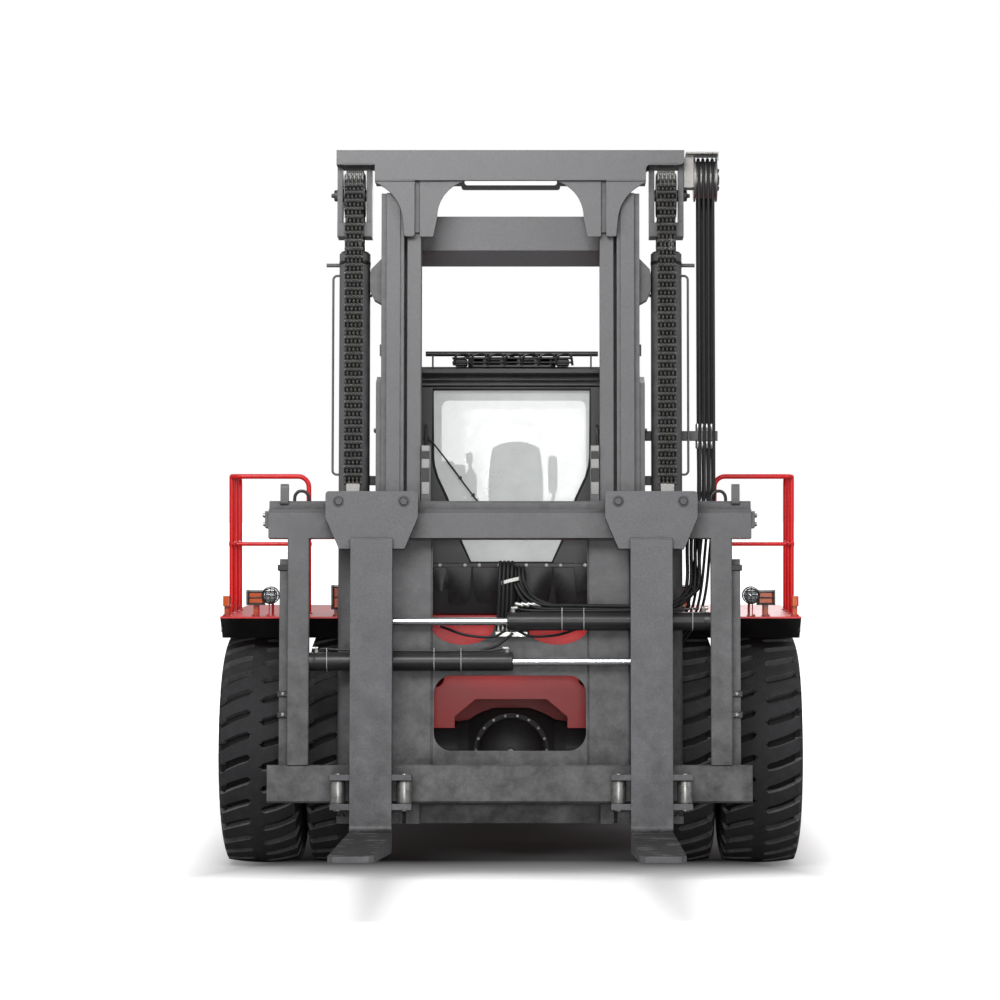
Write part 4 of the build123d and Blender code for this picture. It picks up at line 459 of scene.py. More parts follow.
# light grey on the slot walls as a painted highlight
SLOT_WALL_HIGHLIGHT_RUBBER = black_rubber("slot_wall_painted_highlight", colour(92, 92, 92), near_ground=0.1, edge=0.0)
TREAD_FINISHES = (SLOT_SHADE_RUBBER, SLOT_WALL_HIGHLIGHT_RUBBER)
HOSE_RUBBER = black_rubber("hose_rubber", colour(22, 22, 24), roughness=0.5, grain=0.4)
# window_glass glows white as a painted glare
WINDOW_GLASS = clear_glass("window_glass", colour(226, 230, 230), 0.3, 0.36)
PLASTIC = painted_steel("black_plastic", colour(40, 40, 42), roughness=0.55, edge_wear_and_light=0.0, coat=0.0,
                        near_ground=0.0)
AMBER = painted_steel("amber_lens", colour(214, 84, 14), roughness=0.18, edge_wear_and_light=0.0, coat=0.6, near_ground=0.0)
CHAIN_STEEL = bare_steel("chain_steel", colour(150, 149, 147), roughness=0.55, oil=0.3)
# near black on the narrow plates between the chain's outer plates, as painted shade between them
CHAIN_GAP_SHADE = black_rubber("chain_gap_painted_shade", colour(10, 10, 11), roughness=0.35, edge=0.0, near_ground=0.0)
ZINC = bare_steel("zinc_plate", colour(192, 192, 188), roughness=0.32, oil=0.2)
WORN_STEEL = bare_steel("worn_steel", colour(172, 172, 170), roughness=0.3, oil=0.35)
DARK_STEEL = bare_steel("dark_steel", colour(92, 92, 94), roughness=0.45)
# pale paint on some column pads as a painted highlight
PAD_HIGHLIGHT_PAINT = painted_steel("pad_painted_highlight", colour(156, 156, 154), roughness=0.5, edge_wear_and_light=0.6)
WHITE_TIE = painted_steel("pale_nylon", colour(226, 226, 222), roughness=0.45, edge_wear_and_light=0.0, coat=0.0,
                          near_ground=0.0)
FLAP_RUBBER = black_rubber("flap_rubber", colour(58, 58, 60), roughness=0.34, grain=0.3)
SEAT_CLOTH = woven_cloth("seat_cloth", colour(66, 66, 70))
LAMP_GLASS = lamp_lens("lamp_lens", colour(216, 220, 224))

FINISH_OF_SLOT = {
    "red_paint": RED_PAINT, "grey_paint": GREY_PAINT, "black_paint": BLACK_PAINT, "tyre": TYRE_RUBBER,
    "rim": RIM_PAINT, "glass": WINDOW_GLASS, "chrome_rod": CHROME, "steel": STEEL, "cast": CAST_IRON,
    "hose": HOSE_RUBBER, "seat": PLASTIC, "plastic": PLASTIC, "amber": AMBER,
}
FINISH_OF_NODE = {
    "fork_left": FORK_PAINT, "fork_right": FORK_PAINT,
    "platform_left": DECK_PAINT, "platform_right": DECK_PAINT,
}


def finish_frame_nodes():
    """Gives every CAD node the finish of its material slot."""
    for subpart in frame["record"]["subparts"]:
        node = frame["nodes"][subpart["node"]]
        node.data.materials.clear()
        finish = FINISH_OF_NODE.get(subpart["node"], FINISH_OF_SLOT[subpart["material_slot"]])
        node.data.materials.append(finish)


finish_frame_nodes()


# Mesh making. Pieces are drawn in metres with y measured back from the front axle, and mast
# pieces are drawn upright and leaned back by MAST when they are finished.
TRUCK = Matrix.Translation((0, AXLE_Y, 0))
PIVOT = Matrix.Translation((0, PIVOT_BEHIND_AXLE, PIVOT_HEIGHT))
MAST = TRUCK @ PIVOT @ Matrix.Rotation(-REST_LEAN, 4, "X") @ PIVOT.inverted()


def finish_piece(name, mesh, finish, body, slot, place=TRUCK, sharp=38, others=(), both=False):
    """Makes a piece of a drawn mesh, or of it and its mirror image, and rides it on a body."""
    if both:
        mirrored(mesh)
    bmesh.ops.transform(mesh, matrix=place, verts=mesh.verts)
    bmesh.ops.recalc_face_normals(mesh, faces=mesh.faces)
    data = bpy.data.meshes.new(name)
    mesh.to_mesh(data)
    mesh.free()
    data.shade_smooth()
    data.set_sharp_from_angle(angle=math.radians(sharp))
    for material in (finish, *others):
        data.materials.append(material)
    made = bpy.data.objects.new(name, data)
    bpy.context.scene.collection.objects.link(made)
    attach(made, body)
    return made


def empty_meshes(count):
    """New meshes to draw pieces in."""
    return [bmesh.new() for number in range(count)]


def mirrored(mesh):
    """Adds the same again on the other side of the truck."""
    copy = bmesh.ops.duplicate(mesh, geom=mesh.verts[:] + mesh.edges[:] + mesh.faces[:])
    verts = [item for item in copy["geom"] if isinstance(item, bmesh.types.BMVert)]
    bmesh.ops.scale(mesh, vec=(-1, 1, 1), verts=verts)
    faces = [item for item in copy["geom"] if isinstance(item, bmesh.types.BMFace)]
    bmesh.ops.reverse_faces(mesh, faces=faces)


def bar(mesh, low, high, chamfer):
    """A flat-sided bar between two corners, with its edges broken."""
    centre = [(a + b) / 2 for a, b in zip(low, high)]
    size = [abs(b - a) for a, b in zip(low, high)]
    place = Matrix.LocRotScale(Vector(centre), None, Vector(size))
    made = bmesh.ops.create_cube(mesh, size=1, matrix=place)
    edges = {edge for vertex in made["verts"] for edge in vertex.link_edges}
    offset = min(chamfer, min(size) * 0.4)
    bmesh.ops.bevel(mesh, geom=list(edges), offset=offset, segments=1, affect="EDGES")


def circle(centre, radius, across, other, count, start=0.0):
    """Points round a circle that lies in two directions."""
    turns = [math.tau * (step + start) / count for step in range(count)]
    return [centre + radius * (across * math.cos(turn) + other * math.sin(turn)) for turn in turns]


def loft(mesh, rings, closed=False):
    """The skin over rings of points, with its ends closed unless it runs back into itself."""
    skin = [[mesh.verts.new(point) for point in ring] for ring in rings]
    for first, second in zip(skin, skin[1:] + skin[:1] if closed else skin[1:]):
        for step in range(len(first)):
            after = (step + 1) % len(first)
            mesh.faces.new((first[step], first[after], second[after], second[step]))
    if not closed:
        mesh.faces.new(reversed(skin[0]))
        mesh.faces.new(skin[-1])


def turned(mesh, start, direction, profile, sides=24):
    """A turned piece along a direction, from its (distance, radius) pairs."""
    axis = Vector(direction).normalized()
    across = axis.orthogonal().normalized()
    other = axis.cross(across)
    start = Vector(start)
    loft(mesh, [circle(start + axis * step, radius, across, other, sides, 0.5) for step, radius in profile])


def pipe(mesh, points, radius, sides=10, closed=False):
    """A round pipe or hose that follows points."""
    points = [Vector(point) for point in points]
    last = len(points) - 1
    rings = []
    across = None
    for index, point in enumerate(points):
        if closed:
            ahead = points[(index + 1) % len(points)] - points[index - 1]
        else:
            ahead = points[min(index + 1, last)] - points[max(index - 1, 0)]
        ahead.normalize()
        across = ahead.orthogonal() if across is None else across - ahead * across.dot(ahead)
        across.normalize()
        rings.append(circle(point, radius, across, ahead.cross(across), sides))
    loft(mesh, rings, closed)


def smooth_path(points, steps=8):
    """Points on a smooth line through the given ones."""
    points = [Vector(point) for point in points]
    around = [2 * points[0] - points[1], *points, 2 * points[-1] - points[-2]]
    path = []
    for a, b, c, d in zip(around, around[1:], around[2:], around[3:]):
        for step in range(steps):
            t = step / steps
            bend = (2 * a - 5 * b + 4 * c - d) * t * t + (3 * b - a - 3 * c + d) * t**3
            path.append(0.5 * (2 * b + (c - a) * t + bend))
    path.append(points[-1])
    return path


def slab(mesh, corners, shift, finish_index=0):
    """A plate of any outline, from its corners and the step to its far face."""
    near = [mesh.verts.new(corner) for corner in corners]
    far = [mesh.verts.new(Vector(corner) + Vector(shift)) for corner in corners]
    faces = [mesh.faces.new(near), mesh.faces.new(reversed(far))]
    for index in range(len(near)):
        after = (index + 1) % len(near)
        faces.append(mesh.faces.new((near[index], far[index], far[after], near[after])))
    for face in faces:
        face.material_index = finish_index


def two_sheets(mesh, sheets):
    """A closed form from the points of its two faces, each in rows of columns."""
    front, back = [[[mesh.verts.new(point) for point in line] for line in sheet] for sheet in sheets]
    rows, columns = len(front) - 1, len(front[0]) - 1
    for sheet in (front, back):
        for near, far in zip(sheet, sheet[1:]):
            for column in range(columns):
                mesh.faces.new((near[column], near[column + 1], far[column + 1], far[column]))
    along_sides = [(row, side, row + 1, side) for row in range(rows) for side in (0, columns)]
    along_ends = [(end, column, end, column + 1) for column in range(columns) for end in (0, rows)]
    for row, column, next_row, next_column in along_sides + along_ends:
        first, second = front[row][column], front[next_row][next_column]
        mesh.faces.new((first, second, back[next_row][next_column], back[row][column]))


def hex_bolt(mesh, place, direction, size):
    """A hexagon head of a given width, on its washer."""
    washer = ((-0.002, 0.68 * size), (0.08 * size, 0.68 * size), (0.12 * size, 0.62 * size))
    turned(mesh, place, direction, washer, 20)
    head = ((0.1 * size, 0.56 * size), (0.62 * size, 0.56 * size), (0.72 * size, 0.45 * size))
    turned(mesh, place, direction, head, 6)


def bolt_rows(mesh, xs, ys, zs, direction, size):
    """Bolts at all the crossings of three lists of places."""
    for place in itertools.product(xs, ys, zs):
        hex_bolt(mesh, place, direction, size)


def bolt_circle(mesh, centre, radius, direction, size, count, start=0.0):
    """Bolts on a circle round a level axis."""
    across = Vector((abs(direction[1]), abs(direction[0]), 0))
    for place in circle(Vector(centre), radius, across, UP, count, start):
        hex_bolt(mesh, place, direction, size)


def socket_screw(mesh, place, direction, radius):
    """A round screw head with its hexagon socket, in a dished seat."""
    seat = ((-0.002, 1.5 * radius), (0.003, 1.45 * radius), (0.003, 1.2 * radius), (-0.001, 1.12 * radius))
    turned(mesh, place, direction, seat, 28)
    turned(mesh, place, direction, ((-0.001, radius), (0.006, radius), (0.009, 0.86 * radius)), 24)


def weld(mesh, first, last, radius, seed):
    """A rippled weld bead along a joint."""
    rng = random.Random(seed)
    first, last = Vector(first), Vector(last)
    steps = max(4, int((last - first).length / 0.014))
    along = (last - first).normalized()
    across = along.orthogonal().normalized()
    rings = []
    for step in range(steps + 1):
        swell = radius * (0.86 + 0.24 * (step % 2) + rng.uniform(-0.06, 0.06))
        centre = first + (last - first) * step / steps
        rings.append(circle(centre, swell, across, along.cross(across), 8))
    loft(mesh, rings)


# Tyres: a smooth carcass whose lugs are parted by slanting slots, staggered from side to side
LUGS = 32
TYRE_RADIUS = 0.8
TREAD_HALF = 0.25
CROWN_DROP = 0.022
SHOULDER_RADIUS = 0.77
SLOT_DEPTH = 0.045
SLOT_HALF = 0.022
SLOT_LEAST = 0.003
SLOT_WIDENS = 0.006
SLOT_WALL = 0.005
LUG_MIDDLE = 0.0393
LEFT_SLOT_END = -0.055
RIGHT_SLOT_END = 0.025
TREAD_STEPS = (
    -0.249, -0.225, -0.2, -0.17, -0.14, -0.11, -0.082, -0.07, -0.063, -0.058, -0.055, -0.04, -0.01,
    0, 0.01, 0.025, 0.028, 0.033, 0.04, 0.05, 0.065, 0.085, 0.11, 0.14, 0.17, 0.2, 0.225, 0.249,
)
INNER_TYRE = 1.132
OUTER_TYRE = 1.73
REAR_TYRE = 1.26
REAR_AXLE = 5.0


def arc_points(first, through, last, count):
    """Points on the circle through three flat points, both ends included."""
    (ax, ay), (bx, by), (cx, cy) = first, through, last
    a, b, c = (x * x + y * y for x, y in (first, through, last))
    d = 2 * (ax * (by - cy) + bx * (cy - ay) + cx * (ay - by))
    ux = (a * (by - cy) + b * (cy - ay) + c * (ay - by)) / d
    uy = (a * (cx - bx) + b * (ax - cx) + c * (bx - ax)) / d
    start = math.atan2(ay - uy, ax - ux)
    sweep = math.atan2(cy - uy, cx - ux) - start
    angles = [start + sweep * step / (count - 1) for step in range(count)]
    radius = math.hypot(ax - ux, ay - uy)
    return [(ux + radius * math.cos(angle), uy + radius * math.sin(angle)) for angle in angles]


def tyre_columns():
    """Each ring of the tyre: its place across and out, how deep its slots are, and their width."""
    wall = arc_points((0.2205, 0.363), (0.28, 0.568), (0.251, 0.777), 12)[1:-1]
    outside = [*reversed(wall), (0.2205, 0.363), (0.221, 0.340), (0.22, 0.3182)]
    tread = [(u, TYRE_RADIUS - CROWN_DROP * (u / TREAD_HALF) ** 2) for u in TREAD_STEPS]
    columns = []
    for u, r in [*((-u, r) for u, r in reversed(outside)), *tread, *outside]:
        inward = LEFT_SLOT_END - u if u < 0 else u - RIGHT_SLOT_END
        depth = 0.0
        half = SLOT_LEAST
        if inward >= -0.0001:
            share = min(1.0, max(inward, 0.0) / SLOT_HALF)
            half = max(SLOT_LEAST, SLOT_HALF * math.sqrt(1 - (1 - share) ** 2))
            half += SLOT_WIDENS * min(1, inward / TREAD_HALF)
            depth = SLOT_DEPTH * min(1.0, 0.35 + share)
        if r < SHOULDER_RADIUS:
            depth *= max(0.0, (r - 0.66) / 0.11)
            half += SLOT_LEAST
        columns.append((u, r, depth, half))
    return columns


def draw_tyre(mesh, middle_x, axle_y):
    """One tyre about its axle, with every slot rising towards the driver's left."""
    columns = tyre_columns()
    rings = []
    for index, (u, r, depth, half) in enumerate(columns):
        before = Vector(columns[max(index - 1, 0)][:2])
        after = Vector(columns[min(index + 1, len(columns) - 1)][:2])
        along = (after - before).normalized()
        slant = math.copysign(abs(u) ** 1.6, u)
        ring = []
        for lug in range(LUGS):
            for side, phase in ((-1, 0.0), (1, 0.5)):
                here = depth if side * u > 0 else 0.0
                centre = (lug + phase) * math.tau / LUGS + slant
                lip = half + SLOT_WALL
                for way_round, sunk in ((-lip, 0), (-half, here), (half, here), (lip, 0), (LUG_MIDDLE, 0)):
                    angle = centre + way_round / TYRE_RADIUS
                    radius = r - along[0] * sunk
                    y = axle_y - radius * math.cos(angle)
                    place = (middle_x + u + along[1] * sunk, y, AXLE_Z + radius * math.sin(angle))
                    ring.append(mesh.verts.new(place))
        rings.append(ring)
    count = len(rings[0])
    for index, (first, second) in enumerate(zip(rings, rings[1:] + rings[:1])):
        following = columns[(index + 1) % len(columns)]
        sunk = columns[index][2] > 0.01 and following[2] > 0.01
        own_side = 0 if columns[index][0] < 0 else 5
        for step in range(count):
            after = (step + 1) % count
            face = mesh.faces.new((first[step], second[step], second[after], first[after]))
            # slot bottoms take the near-black painted shade, slot walls the light grey painted highlight
            if sunk and own_side <= step % 10 <= own_side + 2:
                face.material_index = 1 if step % 10 == own_side + 1 else 2


def make_tyres():
    """Two tyres on each front wheel and one on each rear wheel."""
    for side, sign in SIDES:
        mesh = bmesh.new()
        for x in (INNER_TYRE, OUTER_TYRE):
            draw_tyre(mesh, sign * x, 0)
        body = f"front_wheel_{side}"
        made = finish_piece(f"front_tread_{side}", mesh, TYRE_RUBBER, body, "tyre", TRUCK, 30, TREAD_FINISHES)
        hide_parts(f"front_tyres_{side}")
        mesh = bmesh.new()
        draw_tyre(mesh, sign * REAR_TYRE, REAR_AXLE)
        body = f"rear_wheel_{side}"
        made = finish_piece(f"rear_tread_{side}", mesh, TYRE_RUBBER, body, "tyre", TRUCK, 30, TREAD_FINISHES)
        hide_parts(f"rear_tyre_{side}")


# Wheel nuts, hub bolts and the drive axle's dome bolts
def wheel_nuts(name, sign, face_x, hub_x, axle_y, body, ring, hub_ring):
    """Nuts on the wheel disc between its holes, and bolts round the hub's cap."""
    mesh = bmesh.new()
    bolt_circle(mesh, (sign * face_x, axle_y, AXLE_Z), ring, sign * LEFT, 0.038, 8, 0.75)
    bolt_circle(mesh, (sign * hub_x, axle_y, AXLE_Z), hub_ring, sign * LEFT, 0.03, 10)
    boss = ((0, 0.075), (0.02, 0.073), (0.028, 0.06))
    turned(mesh, (sign * (hub_x - 0.002), axle_y, AXLE_Z), sign * LEFT, boss, 32)
    finish_piece(name, mesh, STEEL, body, "steel")


def make_wheel_fittings():
    """Nuts of all the wheels, and the bolts round the drive axle's dome."""
    for side, sign in SIDES:
        wheel_nuts(f"front_nuts_{side}", sign, 1.4515, 1.78, 0, f"front_wheel_{side}", 0.2345, 0.125)
        wheel_nuts(f"rear_nuts_{side}", sign, 1.4005, 1.5, REAR_AXLE, f"rear_wheel_{side}", 0.215, 0.1)
    mesh = bmesh.new()
    bolt_circle(mesh, (0, -0.236, AXLE_Z), 0.246, -BACK, 0.022, 18)
    turned(mesh, (0, -0.388, AXLE_Z), -BACK, ((-0.004, 0.03), (0.012, 0.03), (0.018, 0.024)), 6)
    finish_piece("dome_bolts", mesh, STEEL, "chassis", "steel")


make_tyres()
make_wheel_fittings()


# Lift chains. Each side has nine rows of plates, laced in turn, on pins one pitch apart; the narrow plates
# between them are near black as painted shade.
CYLINDER = 1.066
MAST_MIDDLE = -0.98
SHEAVE = 4.62
CHAIN_BEND = 0.1485
CHAIN_PITCH = 0.054
CHAIN_WIDTH = 0.122
CHAIN_FOOT = 2.631
BACK_ANCHOR = 2.66
BEND_LINKS = 9
PLATE_ROWS = 9
PLATE_HALF = 0.024
PLATE_END = 0.0135
WAIST = 0.86


def over_sheave(bend, height, steps):
    """Points of a half turn over a sheave, from its front to its back."""
    turns = [math.pi * step / steps for step in range(steps + 1)]
    return [(MAST_MIDDLE - bend * math.cos(turn), height + bend * math.sin(turn)) for turn in turns]


def chain_run(y, first, last):
    """The pins of a straight run of chain."""
    count = int(abs(last - first) / CHAIN_PITCH)
    return [(y, first + (last - first) / count * step) for step in range(count + 1)]


def chain_plate(mesh, x, first, second, thickness, half, finish_index=0):
    """One link plate that joins two pins, waisted between them."""
    a = Vector((0, *first))
    b = Vector((0, *second))
    along = (b - a).normalized()
    out = Vector((0, -along[2], along[1]))
    corners = []
    for end, towards in ((a, -1), (b, 1)):
        for degrees in (-80, -40, 0, 40, 80):
            turn = math.radians(degrees) * towards
            corners.append(end + towards * along * PLATE_END * math.cos(turn) + out * half * math.sin(turn))
        corners.append((a + b) / 2 - towards * out * half * WAIST)
    to_face = (x - thickness / 2) * LEFT
    slab(mesh, [corner + to_face for corner in corners], thickness * LEFT, finish_index)


def lay_chain(mesh, pins, half=PLATE_HALF):
    """Both sides' chains on a list of pins."""
    row = CHAIN_WIDTH / PLATE_ROWS
    for sign in SIGNS:
        for number, ends in enumerate(zip(pins, pins[1:])):
            for line in range(PLATE_ROWS):
                x = sign * CYLINDER + (line - (PLATE_ROWS - 1) / 2) * row
                # the narrow plates between take the second finish, near black as painted shade
                if (line + number) % 2 == 0:
                    chain_plate(mesh, x, *ends, row * 0.82, half)
                else:
                    chain_plate(mesh, x, *ends, row * 0.9, 0.35 * half, 1)
        for pin in pins[1:-1]:
            for edge in (-1, 1):
                start = (sign * CYLINDER + edge * (CHAIN_WIDTH / 2 - 0.004), *pin)
                turned(mesh, start, edge * LEFT, ((0, 0.009), (0.006, 0.009), (0.008, 0.006)), 8)


def chain_ends(mesh, y, z, down):
    """The forked end and the nuts that hold each chain to its anchor."""
    for sign in SIGNS:
        x = sign * CYLINDER
        bar(mesh, (x - 0.05, y - 0.02, z - 0.03), (x + 0.05, y + 0.02, z + 0.035), 0.006)
        bolt_rows(mesh, (x - 0.03, x + 0.03), (y,), (z - down * 0.03,), -down * UP, 0.026)


def make_chains():
    """The chains in three parts, and the part behind the sheaves drawn as two that telescope."""
    front_y, back_y = MAST_MIDDLE - CHAIN_BEND, MAST_MIDDLE + CHAIN_BEND
    falling = chain_run(back_y, SHEAVE, BACK_ANCHOR)
    gap_shaded = {"others": (CHAIN_GAP_SHADE,)}
    mesh = bmesh.new()
    lay_chain(mesh, chain_run(front_y, CHAIN_FOOT, SHEAVE))
    front = finish_piece("lift_chain_front", mesh, CHAIN_STEEL, "inner_mast", "steel", MAST, **gap_shaded)
    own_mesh(front)
    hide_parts("lift_chains")
    mesh = bmesh.new()
    wheel = ((0, 0.06), (0.001, 0.146), (0.002, 0.148), (0.007, 0.148), (0.009, 0.1232), (0.133, 0.1232),
             (0.135, 0.148), (0.14, 0.148), (0.141, 0.146), (0.142, 0.06))
    for sign in SIGNS:
        turned(mesh, (sign * (CYLINDER - 0.071), MAST_MIDDLE, SHEAVE), sign * LEFT, wheel, 64)
        pin_end = (sign * (CYLINDER - 0.081), MAST_MIDDLE, SHEAVE)
        turned(mesh, pin_end, sign * LEFT, ((0, 0.04), (0.162, 0.04)), 32)
    wheels = finish_piece("sheave_wheels", mesh, DARK_STEEL, "inner_mast", "steel", MAST)
    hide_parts("chain_sheaves")
    over = over_sheave(CHAIN_BEND, SHEAVE, BEND_LINKS)
    for name, pins in (("chain_over_sheaves", over), ("lift_chain_back_upper", falling)):
        mesh = bmesh.new()
        lay_chain(mesh, pins)
        finish_piece(name, mesh, CHAIN_STEEL, "inner_mast", "steel", MAST, **gap_shaded)
    mesh = bmesh.new()
    lay_chain(mesh, falling, half=0.0232)
    chain_ends(mesh, back_y, BACK_ANCHOR + 0.07, -1)
    finish_piece("lift_chain_back_lower", mesh, CHAIN_STEEL, "outer_mast", "steel", MAST, **gap_shaded)
    mesh = bmesh.new()
    chain_ends(mesh, front_y, CHAIN_FOOT - 0.036, 1)
    finish_piece("carriage_chain_ends", mesh, STEEL, "carriage", "steel", MAST)


# Mast hoses, laid in the grooves of the hose sheave
HOSE_PLACES = tuple(1.2865 + 0.032 * number for number in range(4))
HOSE_FOOT = 2.565
HOSE_BEND = 0.14
HOSE_WHEEL = 4.73
HOSE_RADIUS = 0.0105
HOSE_FRONT = MAST_MIDDLE - HOSE_BEND
HOSE_BACK = MAST_MIDDLE + HOSE_BEND


def make_mast_hoses():
    """The hoses' front run, the turn over their sheave, and the telescoping back run."""
    front, over, back, fittings = empty_meshes(4)
    crimp = ((0, 0.015), (0.008, 0.0185), (0.05, 0.0185), (0.058, 0.015))
    for number, x in enumerate(HOSE_PLACES):
        rise = [(x, HOSE_FRONT, HOSE_FOOT + 0.05 * step) for step in range(43)]
        pipe(front, [*rise, (x, HOSE_FRONT, HOSE_WHEEL)], HOSE_RADIUS, 12)
        pipe(over, [(x, *point) for point in over_sheave(HOSE_BEND, HOSE_WHEEL, 24)], HOSE_RADIUS, 12)
        pipe(over, [(x, HOSE_BACK, HOSE_WHEEL - 0.1 * step) for step in range(17)], HOSE_RADIUS, 12)
        pipe(back, [(x, HOSE_BACK, z) for z in (HOSE_WHEEL - 0.02, 3.6, 3.03)], HOSE_RADIUS * 0.97, 12)
        lower = ((x, HOSE_BACK, 2.92), (x, HOSE_BACK - 0.02, 2.6), (x - 0.02, HOSE_BACK - 0.08, 2.2),
                 (x - 0.09, HOSE_BACK - 0.07, 1.75), (1.05, -0.79, 1.5 - 0.03 * number),
                 (0.93, -0.79, 1.44 - 0.03 * number))
        pipe(back, smooth_path(lower), HOSE_RADIUS * 0.97, 12)
        turned(fittings, (x, HOSE_BACK, 3.004), UP, crimp, 16)
        turned(fittings, (x, HOSE_BACK, 2.948), -UP, crimp, 16)
        turned(fittings, (x, HOSE_BACK, 2.94), UP, ((0, 0.02), (0.068, 0.02), (0.07, 0.018)), 6)
    bar(fittings, (0.90, -0.815, 1.30), (0.96, -0.765, 1.47), 0.006)
    front_run = finish_piece("mast_hoses_front", front, HOSE_RUBBER, "inner_mast", "hose", MAST)
    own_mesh(front_run)
    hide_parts("mast_hoses")
    finish_piece("mast_hoses_over", over, HOSE_RUBBER, "inner_mast", "hose", MAST)
    finish_piece("mast_hoses_back", back, HOSE_RUBBER, "outer_mast", "hose", MAST)
    finish_piece("hose_fittings", fittings, ZINC, "outer_mast", "steel", MAST)


make_chains()
make_mast_hoses()


# Carriage hoses, the fork positioner's pipes, and what is bolted to the carriage
UPPER_POSITIONER = 1.69
LOWER_POSITIONER = 1.419
POSITIONER_LINE = -1.2123
POSITIONER_RADIUS = 0.062
POSITIONER_FAR = 1.3547


def make_carriage_hoses():
    """Hoses from the mast run down behind the bar, along the upper barrel, and up over the panel."""
    mesh = bmesh.new()
    runs = []
    for number, x in enumerate(HOSE_PLACES):
        spread = 0.027 * number
        z = UPPER_POSITIONER + 0.078 + 0.024 * (number % 2)
        y = -1.212 + 0.026 * (number // 2)
        loop = ((0.01, -1.115, 2.06), (0.02, -1.07, 1.98), (0.03, -1.055, 1.8), (0.04, -1.06, 1.56),
                (0.05, -1.085, 1.45))
        runs.append((
            (x, HOSE_FRONT, HOSE_FOOT + 0.01), (x - 0.01, -1.111, 2.5), (1.215 + spread, -1.104, 2.36),
            (1.2 + spread, -1.103, 2.2), (1.2 + spread, -1.112, 1.98), (1.17 + spread, -1.15, z + 0.1),
            (1.08, y, z + 0.012), (0.85, y, z), (0.45, y, z + 0.004), (0.2 + spread, y, z + 0.01),
            (0.09 + 0.02 * number, y + 0.02, z + 0.07), (0.02 + 0.024 * number, -1.16, 1.97),
            *((start + 0.026 * number, *rest) for start, *rest in loop),
        ))
    for number in range(4):
        second = ((-0.01, -1.155, 1.63), (0, -1.185, 1.8), (0.004, -1.19, 1.95), (0.008, -1.165, 2.06),
                  (0.01, -1.115, 2.09), (0.012, -1.075, 2.0), (0.014, -1.06, 1.8), (0.02, -1.07, 1.55))
        runs.append([(-0.075 + 0.027 * number + start, *rest) for start, *rest in second])
    for points in runs:
        pipe(mesh, smooth_path(points, 7), 0.0125, 10)
    crossing = (
        ((-0.03, -1.2, 1.63), (-0.12, -1.19, 1.585), (-0.3, -1.165, 1.6), (-0.47, -1.13, 1.66)),
        ((0.05, -1.2, 1.63), (0.14, -1.19, 1.59), (0.32, -1.165, 1.6), (0.5, -1.13, 1.66)),
        ((0.02, -1.22, 1.61), (-0.04, -1.215, 1.56), (-0.1, -1.215, 1.52), (-0.2, -1.213, 1.495)),
    )
    for points in crossing:
        pipe(mesh, smooth_path(points, 7), 0.009, 8)
    finish_piece("carriage_hoses", mesh, HOSE_RUBBER, "carriage", "hose", MAST)


def barrel_tie(mesh, x, z):
    """A tie round a positioner barrel and the pipes on its top."""
    loop = circle(Vector((x, POSITIONER_LINE, z)), POSITIONER_RADIUS + 0.0022, BACK, UP, 28)
    for step, point in enumerate(loop):
        if 0.4 < math.tau * step / 28 < math.pi - 0.4:
            point.z = max(point.z, z + 0.088)
    pipe(mesh, loop, 0.0022, 6, closed=True)


